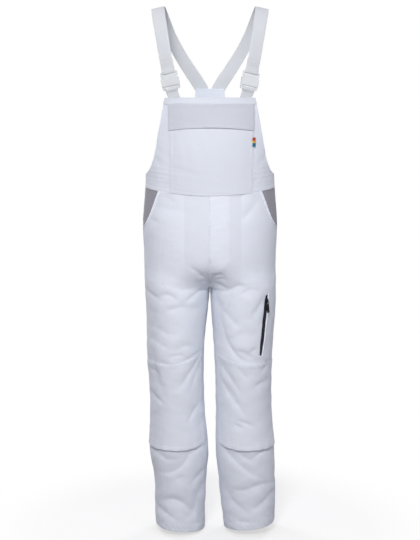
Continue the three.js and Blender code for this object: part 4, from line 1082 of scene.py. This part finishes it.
# The zip's coil: one small bead to each tooth, joined into one mesh.
TOOTH_PITCH = 1.25
rows = np.arange(SLIT_TOP_Z - 1, SLIT_FOOT_Z + 1, -TOOTH_PITCH)
centre, normal = placed("left", "front", slit_middle(rows), rows, -CLOTH - 0.5)
up = unit(np.gradient(centre, axis=0))
across = unit(np.cross(up, normal))
beads = []
BEAD = [(-1, 0.0), (-0.9, 0.55), (-0.45, 0.95), (0.45, 0.95), (0.9, 0.55), (1, 0.0)]
for w, h in BEAD:
    for k in (-0.42, 0.42):
        ahead = up * (k * TOOTH_PITCH * (0.45 + 0.4 * h))
        beads.append(centre + across * (w * 2.1) + normal * (h * 0.95) + ahead)
beads = np.stack(beads, 1)
count = len(beads)
index = np.arange(count * 12).reshape(count, 12)
faces = [index[:, [2 * k, 2 * k + 1, 2 * k + 3, 2 * k + 2]] for k in range(5)]
faces += [index[:, [0, 2, 4, 6]], index[:, [0, 6, 8, 10]], index[:, [7, 5, 3, 1]], index[:, [11, 9, 7, 1]]]
faces += [index[:, [10, 11, 1, 0]]]
coil = new_object("zip_coil_teeth", beads.reshape(-1, 3), np.concatenate(faces))
coil.data.shade_flat()
finish_piece(coil, "teeth")

for outer in (True, False):
    rows = np.arange(SLIT_TOP_Z + 2, SLIT_FOOT_Z - 2, -2.0)
    width = panel_width("left", "front", rows)
    sense, away, lift = (-1, 4.0, CLOTH + 0.6) if outer else (1, 3.0, 0.05)
    sew("front_left", "left", "front", slit_edge(rows, outer) + sense * away / width, rows, lift)
for end in (SLIT_TOP_Z + 3.5, SLIT_FOOT_Z - 3.5):
    for k in range(4):
        row_at = end + 0.7 * k
        width = panel_width("left", "front", np.array([row_at]))[0]
        s = slit_middle(row_at) + np.linspace(-6.5, 5.5, 8) / width
        sew("front_left", "left", "front", s, row_at + 0 * s, CLOTH + 0.5, 1.9, 1.7)

# ------------------------------------------------------------------ bib and back
def ring_point(face, x, z):
    half_width, front, back, centre_y = section_at(TORSO, z)
    rise = np.sqrt(np.maximum(1 - (x / half_width) ** 2, 1e-8))
    reach = -front if face == "front" else back
    point = np.stack([x + 0 * z, centre_y + reach * rise, z + 0 * x], -1)
    flat = np.stack([x / half_width**2, rise / reach, 0 * x + 0 * z], -1)
    return point, unit(flat)


def ring_x(share, z, low, high):
    """Even steps round the ring between two places, as x."""
    (half_width, *_) = section_at(TORSO, z)
    start = np.arcsin(np.clip(low / half_width, -1, 1))
    end = np.arcsin(np.clip(high / half_width, -1, 1))
    limit = half_width * 0.999999
    return np.clip(half_width * np.sin(lerp(start, end, share)), -limit, limit)


def bib_height(row, x):
    """The bib's lower rows dip with the waist seam, and the flap's edge arches."""
    dip = waist_drop_at(x) * ramp(FLAP_Z, WAIST_Z, row)
    tent = np.minimum(ramp(BAND_Z, FLAP_Z, row), ramp(-425, FLAP_Z, row))
    rise = np.maximum(FLAP_RISE * (1 - (x / POCKET_HALF_TOP) ** 2) * tent, 0)
    return row - dip + rise


BAND_ELASTICS = (-468, -478, -488, -498)  # heights of the elastic threads in the waistband
BIB_ELASTICS = (-432, -444, -456, -468, -480, -492)  # and in the bib's sides


def shirring(x, z, seed, elastics, pitch=8.5):
    """Fine upright puckers held by rows of elastic thread."""
    at = np.stack([x, 0 * x, z], -1)
    pucker = np.sin(2 * math.pi * x / pitch + 1.6 * ripple(at, 60, seed))
    drawn = sum(bump_at(z + 0.8 * ripple(at, 30, seed + 1), level, 1.7) for level in elastics)
    return 0.5 * pucker * (1 - 0.55 * drawn) - 0.75 * drawn


def bib_point(x, row):
    x, row = np.broadcast_arrays(x, row)
    z = bib_height(row, x)
    point, normal = ring_point("front", x, z)
    out = 0.7 * ripple(point, 120, 61) + 0.25 * ripple(point, 34, 62) - crease_depth(BIB_CREASES, x, z)
    out = out * ramp(BIB_TOP_Z + 4, BIB_TOP_Z - 30, row) * ramp(WAIST_Z, WAIST_Z + 14, row)
    arc = np.sign(x) * np.arcsin(np.clip(np.abs(x) / 186, 0, 1)) * 150
    level = z + waist_drop_at(x) * ramp(FLAP_Z, WAIST_Z, row)
    drawn = shirring(arc, level, 64, BIB_ELASTICS, 11)
    low_down = ramp(BAND_TOP_Z + 44, BAND_TOP_Z + 26, level)
    at_sides = ramp(112, 124, np.abs(x))
    out = out + drawn * low_down * (0.6 * at_sides + 0.22 * ramp(-20, -60, x) * (1 - at_sides))
    return point + normal * out[..., None]


def bib_edges(row):
    (edge,) = section_at(BIB_EDGE, row)
    (half_width, *_) = section_at(TORSO, row)
    return np.where(row <= BAND_TOP_Z, half_width, edge)


def bib_grid(rows, low, high, step, near=EDGE_STEPS):
    """A grid across the bib between two edges given for each row, and the distances in."""
    span = ring_arc(rows, low, high)
    typical = float(np.median(span))
    base = steps_between(0, typical, step, near)
    count = len(base)
    is_near, is_far = np.arange(count) < len(near), np.arange(count) >= count - len(near)
    distance = np.empty((len(rows), count))
    for k, w in enumerate(span):
        middle = (base - base[is_near][-1]) / (base[is_far][0] - base[is_near][-1])
        first, last = base[is_near][-1], w - (typical - base[is_far][0])
        distance[k] = lerp(first, last, middle)
        distance[k, is_near], distance[k, is_far] = base[is_near], w - (typical - base[is_far])
    share = distance / span[:, None]
    x = ring_x(share, rows[:, None], low[:, None], high[:, None])
    edge = np.minimum(distance, span[:, None] - distance)
    return x, np.repeat(rows[:, None], count, 1), edge


def ring_arc(rows, low, high):
    share = np.linspace(0, 1, 41)[None]
    x = ring_x(share, rows[:, None], low[:, None], high[:, None])
    points = ring_point("front", x, rows[:, None] + 0 * x)[0]
    return np.linalg.norm(np.diff(points, axis=1), axis=2).sum(1)


def pocket_edges(rows):
    half = lerp(POCKET_HALF_TOP, POCKET_HALF_FOOT, ramp(BIB_TOP_Z, WAIST_Z, rows))
    return POCKET_CENTRE_X - half, POCKET_CENTRE_X + half


def turned_edge(edge, width=8.5, height=0.45):
    """A turned-in edge: a doubled strip with a dimple where its stitches run."""
    return height * (1 - ease(ramp(width, width + 1.6, edge))) - 0.25 * bump_at(edge, 2, 0.9)


def bib_piece(name, node, marks, low_at, high_at, lift_at, flat, painted_shading, area=None):
    """A panel on the bib, between two edges given as x for each row."""
    rows = rows_through(marks, FINE_STEP, EDGE_STEPS)
    x, row, edge = bib_grid(rows, low_at(rows), high_at(rows), FINE_STEP)
    points = bib_point(x, row)
    lift = lift_at(x, row, edge) + 0 * x
    obj = shell(name, points[:, ::-1], lift[:, ::-1] - CLOTH, lift[:, ::-1], painted_shading=painted_shading)
    cloth_piece(obj, node, flat, area=area)


LAYER = CLOTH + 0.65  # from the bib's outer face to the outer face of a piece that lies on it


def bib_lift(x, row, edge):
    seam = row - WAIST_Z
    lift = turned_edge(edge) * ramp(BAND_TOP_Z, BAND_TOP_Z + 20, row)
    lift = lift + 0.3 * (1 - ease(ramp(8.5, 10.5, seam))) - 0.2 * bump_at(seam, 2, 0.9)
    return lift + 0.6 * seam_puckers(edge, row, 65)


def band_lift(x, row, edge):
    near = np.minimum(edge, np.minimum(BIB_TOP_Z - row, row - BAND_Z))
    return LAYER + 0.3 * (1 - ease(ramp(0, 2, near))) - 0.25 * bump_at(near, 2.2, 0.9)


def pocket_lift(x, row, edge):
    seam = row - WAIST_Z
    lift = LAYER + turned_edge(edge) + 0.5 * seam_puckers(edge, row, 66)
    return lift - 0.2 * bump_at(seam, 2, 0.9) - 0.2 * bump_at(seam, 7.5, 0.9)


def flap_lift(x, row, edge):
    near = np.minimum(edge, np.minimum(BAND_Z - row, row - FLAP_Z))
    stand = 1.6 * ramp(BAND_Z, FLAP_Z, row) ** 3 * (0.7 + 0.5 * np.sin(x / 31 + 0.8))
    return 2 * LAYER + stand + turned_edge(near, 7.5, 0.5)


# Painted shade: the bib, its top band, its pocket and most of all its flap are drawn darker than the same
# white twill.
bib_piece("cloth_bib_front", "bib_front", [BIB_TOP_Z, BAND_TOP_Z, WAIST_Z + 0.4],
          lambda z: -bib_edges(z), bib_edges, bib_lift, (380, 262), painted_shading=-0.7, area=0.87)
bib_piece("cloth_bib_top_band", "bib_top_band", [BIB_TOP_Z + 0.3, BAND_Z],
          lambda z: -bib_edges(z) - 0.2, lambda z: bib_edges(z) + 0.2, band_lift, (262, 17), painted_shading=-2.6)
bib_piece("cloth_bib_pocket", "bib_pocket", [POCKET_TOP_Z, WAIST_Z + 0.4],
          lambda z: pocket_edges(z)[0], lambda z: pocket_edges(z)[1], pocket_lift, (240, 232), painted_shading=-2.2)
bib_piece("cloth_bib_flap", "bib_flap", [BAND_Z - 0.3, FLAP_Z],
          lambda z: pocket_edges(z)[0] - 0.5, lambda z: pocket_edges(z)[1] + 0.5, flap_lift, (242, 82),
          painted_shading=-5.2)

low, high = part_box("label_tab")
label_x = (low[0] / MM - 4, high[0] / MM - 5)  # a little beside the solid's
rows = rows_through([-358, -381], 1.6, (0, 0.8))
x, row, _ = bib_grid(rows, label_x[0] + 0 * rows, label_x[1] + 0 * rows, 1.3, (0, 0.8))
points = bib_point(x, row)
lift = LAYER + 2.7 + 0.9 * np.sin(math.pi * ramp(*label_x, x))
obj = shell("cloth_label_tab", points[:, ::-1], lift[:, ::-1] - 0.8, lift[:, ::-1])
cloth_piece(obj, "label_tab", (12, 25), "label")

# The raised back and the elastic waistband behind.
def back_surface(x, z):
    point, normal = ring_point("back", x, z)
    out = 0.9 * ripple(point, 110, 71) + 0.3 * ripple(point, 38, 72)
    return point, normal, out


rows = rows_through([BACK_TOP_Z, BAND_TOP_Z], FINE_STEP, EDGE_STEPS)
(edge_x,) = section_at(BACK_EDGE, rows)
x, row, edge = bib_grid(rows, -edge_x, edge_x, 3.2)
points, normal, out = back_surface(x, row)
near = np.minimum(edge, BACK_TOP_Z - row)
lift = turned_edge(near) + out * ramp(BACK_TOP_Z, BACK_TOP_Z - 30, row)
lift = lift - 0.2 * bump_at(row - BAND_TOP_Z, 2, 0.9)
obj = shell("cloth_back_bib", points, lift - CLOTH, lift)
cloth_piece(obj, "back_bib", (385, 250), area=0.45)

rows = rows_through([BAND_TOP_Z, WAIST_Z + 0.3], 1.6, (0, 0.9, 2.2))
full = section_at(TORSO, rows)[0]
x, row, edge = bib_grid(rows, -full, full, 1.7, (0, 0.9, 2.2))
points, normal, out = back_surface(x, row)
arc = 150 * np.arcsin(np.clip(x / full[:, None], -1, 1))
lift = 0.5 + 1.4 * shirring(arc, row, 73, BAND_ELASTICS) * ramp(0, 12, edge)
obj = shell("cloth_back_waistband", points, lift - 1.6, lift)
cloth_piece(obj, "back_waistband", (475, 38))

# Stitches on the bib and the back.
def bib_stitches(group, x, row, lift):
    x, row = np.broadcast_arrays(np.asarray(x, float), np.asarray(row, float))
    points = bib_point(x, row)
    ahead = bib_point(x + 0.5, row) - bib_point(x - 0.5, row)
    down = bib_point(x, row - 0.5) - bib_point(x, row + 0.5)
    normals = unit(np.cross(down, ahead))
    stitch_along(group, points + normals * np.asarray(lift, float)[..., None], normals)


def arc_row(low, high, count=130):
    return ring_x(np.linspace(0, 1, count), -380.0, low, high)


for inset in (2.0, 7.0):
    rows = np.arange(POCKET_TOP_Z - 50, WAIST_Z + 3, -2.0)
    for sense in (0, 1):
        edge_x = pocket_edges(rows)[sense] + (inset if sense == 0 else -inset) * 1.15
        bib_stitches("bib", edge_x, rows, LAYER + 0.4)
    bib_stitches("bib", arc_row(-109, 115), WAIST_Z + inset, LAYER + 0.1)
    rows = np.arange(BAND_Z - 2, BAND_TOP_Z + 1, -2.0)
    for sense in (-1, 1):
        bib_stitches("bib", sense * (bib_edges(rows) - inset * 1.2), rows, 0.4)
rows = np.arange(BAND_Z - 3, FLAP_Z + 2, -2.0)
for sense in (0, 1):
    edge_x = pocket_edges(rows)[sense] + (2.0 if sense == 0 else -2.0)
    bib_stitches("flap", edge_x, rows, 2 * LAYER + 1.2)
x = arc_row(-112, 118)
bib_stitches("flap", x, FLAP_Z + 2.2, 2 * LAYER + 0.5 + 1.45 * (0.7 + 0.5 * np.sin(x / 31 + 0.8)))
bib_stitches("flap", x, BAND_Z - 2.5, 2 * LAYER + 0.45)
for drop in (2.2, 14.6):
    bib_stitches("band", arc_row(-121, 121), BIB_TOP_Z - drop, LAYER + 0.05)
for sense in (-1, 1):
    for level in BIB_ELASTICS:
        x = ring_x(np.linspace(0, 1, 60), level, sense * 122.0, sense * (bib_edges(np.array(level)) - 3))
        bib_stitches("bib", x, level, -0.3)


def back_stitches(x, z, lift):
    x, z = np.broadcast_arrays(np.asarray(x, float), np.asarray(z, float))
    points, normals, out = back_surface(x, z)
    lift = lift + out * ramp(BACK_TOP_Z, BACK_TOP_Z - 30, z)
    stitch_along("back", points + normals * lift[..., None], normals)


for inset in (2.0, 7.0):
    rows = np.arange(BACK_TOP_Z - 2, BAND_TOP_Z + 14, -2.0)
    (edge_x,) = section_at(BACK_EDGE, rows)
    slope = np.gradient(edge_x, rows)
    edge_x = edge_x - inset * np.sqrt(1 + slope**2)
    for sense in (-1, 1):
        back_stitches(sense * edge_x, rows, 0.35)
    back_stitches(np.linspace(-37, 37, 60), BACK_TOP_Z - inset, 0.35)
for level in BAND_ELASTICS:
    back_stitches(ring_x(np.linspace(0, 1, 200), level, -176.0, 176.0), level, 0.0)

# ------------------------------------------------------------------ braces, tabs and buckles
BUCKLE_CENTRE = np.array([110.5, -80.5, -203])
BUCKLE_UP = unit(np.array([0.19, 0.04, 1.0]))
BUCKLE_OUT = np.array([0.4, -0.91, 0.1])
BUCKLE_OUT = unit(BUCKLE_OUT - BUCKLE_UP * (BUCKLE_OUT @ BUCKLE_UP))
BUCKLE_ACROSS = np.cross(BUCKLE_UP, BUCKLE_OUT)
BRACE_WIDTH, TAB_WIDTH = 38, 35

# The centre line of a brace from above the buckle over the shoulder to the back, and the
# direction of its width at each point.
SHOULDER_ROUTE = [
    ((130, -68, -97), (0.93, 0.33, -0.2)), ((138, -46, -49), (0.95, 0.25, -0.2)),
    ((144, -21, -13.5), (0.97, 0.1, -0.2)), ((146, 2, 0.8), (0.98, 0, -0.2)),
    ((141.5, 27, -8), (0.96, -0.16, -0.24)), ((130, 52, -36), (0.91, -0.34, -0.3)),
    ((111, 74, -80), (0.84, -0.46, -0.36)), ((84, 92, -130), (0.85, -0.4, -0.42)),
    ((55, 103, -175), (0.88, -0.24, -0.42)), ((34, 109, -206), (0.93, -0.09, -0.36)),
    ((24.5, 110.2, -223), (1, -0.09, -0.12)), ((21.6, 110.4, -238), (1, -0.09, 0)),
]


def at_buckle(v, n):
    return BUCKLE_CENTRE + BUCKLE_UP * v + BUCKLE_OUT * n


def wrap(tail, spread, sense):
    """The webbing comes up behind itself, goes round the bar and leaves in front."""
    loop = [(tail, -0.95), (spread, -1.2), (27, -3.2), (23.4, -3.5), (20.2, -2.9), (18.7, 0),
            (20.2, 2.9), (23.4, 3.5), (27, 3.2), (spread, 1.2)]
    return [at_buckle(sense * v, n) for v, n in loop]


def strip(name, centres, across, width, thickness, side):
    """Webbing along a line of centres, a little rounded across its width."""
    centres = smooth_line(centres, 7)
    across = smooth_line(across, 7)
    mirror = np.array([SIDES[side], 1, 1])
    along = np.gradient(centres, axis=0)
    out = unit(np.cross(across, along))
    across = unit(np.cross(along, out))
    share = np.array([-1, -0.975, -0.93, -0.7, -0.42, -0.14, 0.14, 0.42, 0.7, 0.93, 0.975, 1])
    rim = np.where(np.abs(share) > 0.9, 1.12, 1.0)
    edge = thickness / 2 * np.where(np.abs(share) > 0.95, 0.82, rim)
    travel = np.cumsum(np.linalg.norm(np.diff(centres, axis=0, prepend=centres[:1]), axis=1))
    sway = 0.35 * np.sin(travel / 23)[:, None] * np.sin(math.pi * share)[None]
    points = centres[:, None] + across[:, None] * (share[None, :, None] * (width / 2 - 0.6))
    points = (points + out[:, None] * sway[..., None]) * mirror
    if SIDES[side] > 0:
        points = points[:, ::-1]
    return shell(name, points, -edge + 0 * sway, edge + 0 * sway)


def tab_seat(z, layer):
    x = np.array(100.5 - 0.1 * (BIB_TOP_Z - z))
    point, normal = ring_point("front", x, np.array(float(z)))
    return point - normal * (CLOTH + 4.3 + layer * 1.9)


for side in SIDES:
    route = [at_buckle(64, 1), *[np.array(p, float) for p, _ in SHOULDER_ROUTE]]
    centres = wrap(60, 38, 1) + route
    across = [BUCKLE_ACROSS] * 11 + [np.array(a, float) for _, a in SHOULDER_ROUTE]
    obj = strip(f"webbing_brace_{side}", centres, across, BRACE_WIDTH, WEBBING, side)
    under = ["cloth_back_bib"]
    cloth_piece(obj, f"brace_{side}", (38, 560), "webbing")

    seats = [tab_seat(-280, 1), tab_seat(BIB_TOP_Z - 6, 1)]
    front = [tab_seat(BIB_TOP_Z - 6, 0), tab_seat(-280, 0)]
    centres = seats + wrap(34, 31, -1)[1:] + front
    seat_across = -np.array([0.9, 0.42, -0.1])
    across = [seat_across] * 2 + [-BUCKLE_ACROSS] * 9 + [seat_across] * 2
    obj = strip(f"webbing_tab_{side}", centres, across, TAB_WIDTH, WEBBING, side)
    under = [f"webbing_brace_{side}"]
    cloth_piece(obj, f"buckle_tab_{side}", (35, 150), "webbing")

    # A box of stitches with a cross holds each brace's end to the back.
    mirror = np.array([SIDES[side], 1, 1])
    corners = [(-12, -226), (12, -226), (12, -237), (-12, -237)]
    for a, b in ((0, 1), (1, 2), (2, 3), (3, 0), (0, 2), (1, 3)):
        t = np.linspace(0, 1, 20)
        x = lerp(corners[a][0], corners[b][0], t) + 23
        z = lerp(corners[a][1], corners[b][1], t)
        points, normals = ring_point("back", x, z)
        stitch_along("back", (points + normals * 0.55) * mirror, normals * mirror, 2.6, 2.1)
    # The webbing is sewn to itself above the buckle.
    for v in (41.5, 43.0, 52.0, 53.5):
        t = np.linspace(-17, 17, 24)[:, None]
        points = (at_buckle(v, 2.05) + BUCKLE_ACROSS * t) * mirror
        stitch_along(f"brace_{side}", points, np.broadcast_to(BUCKLE_OUT * mirror, points.shape), 2.4, 1.9)

build_stitches()

BEVEL_ANGLE = 35  # only edges sharper than this are rounded


def dress_node(node, look, bevel):
    """A hard CAD piece keeps its form and gets rounded edges and a material."""
    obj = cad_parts[node]
    obj.data.materials.clear()
    obj.data.materials.append(LOOKS[look])
    modifier = obj.modifiers.new("soft_edges", "BEVEL")
    modifier.width, modifier.segments = bevel * MM, 3
    modifier.limit_method, modifier.angle_limit = "ANGLE", math.radians(BEVEL_ANGLE)
    obj.data.shade_smooth()


for side in SIDES:
    dress_node(f"buckle_top_{side}", "plastic", 0.5)
    dress_node(f"buckle_base_{side}", "plastic", 0.6)
dress_node("zip_slider", "metal", 0.25)
dress_node("zip_pull", "metal", 0.3)

# ------------------------------------------------------------------ floor, light and camera
GLOW_FROM, GLOW_FULL, GLOW_LEAST = 0.12, 0.75, 0.6  # the floor pales away from the middle


def floor_material():
    n = Nodes("floor")
    place = n.add("ShaderNodeTexCoord").outputs["Object"]
    length = n.add("ShaderNodeVectorMath", operation="LENGTH")
    n.join(place, length)
    far = n.add("ShaderNodeMapRange", interpolation_type="SMOOTHSTEP")
    far.inputs["From Min"].default_value = GLOW_FROM
    far.inputs["From Max"].default_value = GLOW_FULL
    n.join(length.outputs["Value"], far)
    seen = n.add("ShaderNodeLightPath").outputs["Is Camera Ray"]
    paper = n.mix(n.noise(5, 3), (0.86, 0.86, 0.87), (0.9, 0.9, 0.905))
    paper = n.mix(seen, (0.22, 0.22, 0.23), paper)
    n.finish(paper, n.math("MULTIPLY_ADD", n.noise(30), 0.1, 0.85), None, Specular_IOR_Level=0.1)
    glow = n.add("ShaderNodeEmission", Color=(1, 1, 1, 1), Strength=1.0)
    blend = n.add("ShaderNodeMixShader")
    n.join(n.math("MULTIPLY", n.math("MAXIMUM", far.outputs[0], GLOW_LEAST), seen), blend, 0)
    n.join(n.shader, blend, 1)
    n.join(glow, blend, 2)
    n.join(blend, n.tree.nodes["Material Output"], 0)
    return n.material


FLOOR_DROP, FLOOR_RADIUS = 0.004, 7.0
floor_mesh = bpy.data.meshes.new("floor")
maker = bmesh.new()
bmesh.ops.create_circle(maker, cap_ends=True, cap_tris=False, segments=96, radius=FLOOR_RADIUS)
maker.to_mesh(floor_mesh)
maker.free()
floor = placed_in_scene("floor", floor_mesh)
floor.location.z = cad_box[0][2] - FLOOR_DROP
floor.data.materials.append(floor_material())


def area_light(name, place, aim, size, power, colour):
    data = bpy.data.lights.new(name, "AREA")
    data.shape, data.size, data.energy, data.color = "DISK", size, power, colour
    light = placed_in_scene(name, data)
    light.location = place
    light.visible_camera = False
    light.rotation_euler = (Vector(aim) - Vector(place)).to_track_quat("-Z", "Y").to_euler()


area_light("key", (-0.35, -2.55, 1.05), (0, 0, -0.6), 0.7, 58, (1, 0.985, 0.97))
area_light("low", (-0.5, -2.4, -0.8), (0, 0, -1.0), 0.8, 5, (1, 0.985, 0.98))
area_light("fill", (1.8, -2.0, 0.1), (0, 0, -0.1), 1.2, 10, (0.97, 0.97, 1))
area_light("back_left", (-1.9, 2.0, 1.1), (0, 0, -0.7), 1.2, 34, (1, 0.99, 0.98))
area_light("back_right", (1.7, 2.4, 1.0), (0, 0, -0.7), 1.2, 34, (1, 0.99, 0.98))

WORLD_TINT, WORLD_STRENGTH = (0.92, 0.93, 1, 1), 0.38
world = bpy.data.worlds.new("studio")
bpy.context.scene.world = world
world.use_nodes = True
tree = world.node_tree
paths = tree.nodes.new("ShaderNodeLightPath")
lit = tree.nodes["Background"]
lit.inputs[0].default_value = WORLD_TINT
lit.inputs[1].default_value = WORLD_STRENGTH
seen = tree.nodes.new("ShaderNodeBackground")
seen.inputs[0].default_value = (1, 1, 1, 1)
seen.inputs[1].default_value = 1.0
choose = tree.nodes.new("ShaderNodeMixShader")
tree.links.new(paths.outputs["Is Camera Ray"], choose.inputs[0])
tree.links.new(lit.outputs[0], choose.inputs[1])
tree.links.new(seen.outputs[0], choose.inputs[2])
tree.links.new(choose.outputs[0], tree.nodes["World Output"].inputs[0])

CAMERA_PITCH = 8  # degrees down
CAMERA_PLACE, CAMERA_LENS, CAMERA_SENSOR = (0, -3.3, -0.2785), 76.7, 36
camera_data = bpy.data.cameras.new("camera")
camera_data.lens, camera_data.sensor_width = CAMERA_LENS, CAMERA_SENSOR
camera = placed_in_scene("camera", camera_data)
camera.location = CAMERA_PLACE
camera.rotation_euler = (math.radians(90 - CAMERA_PITCH), 0, 0)
bpy.context.scene.camera = camera
bpy.context.scene.view_settings.view_transform = "Standard"
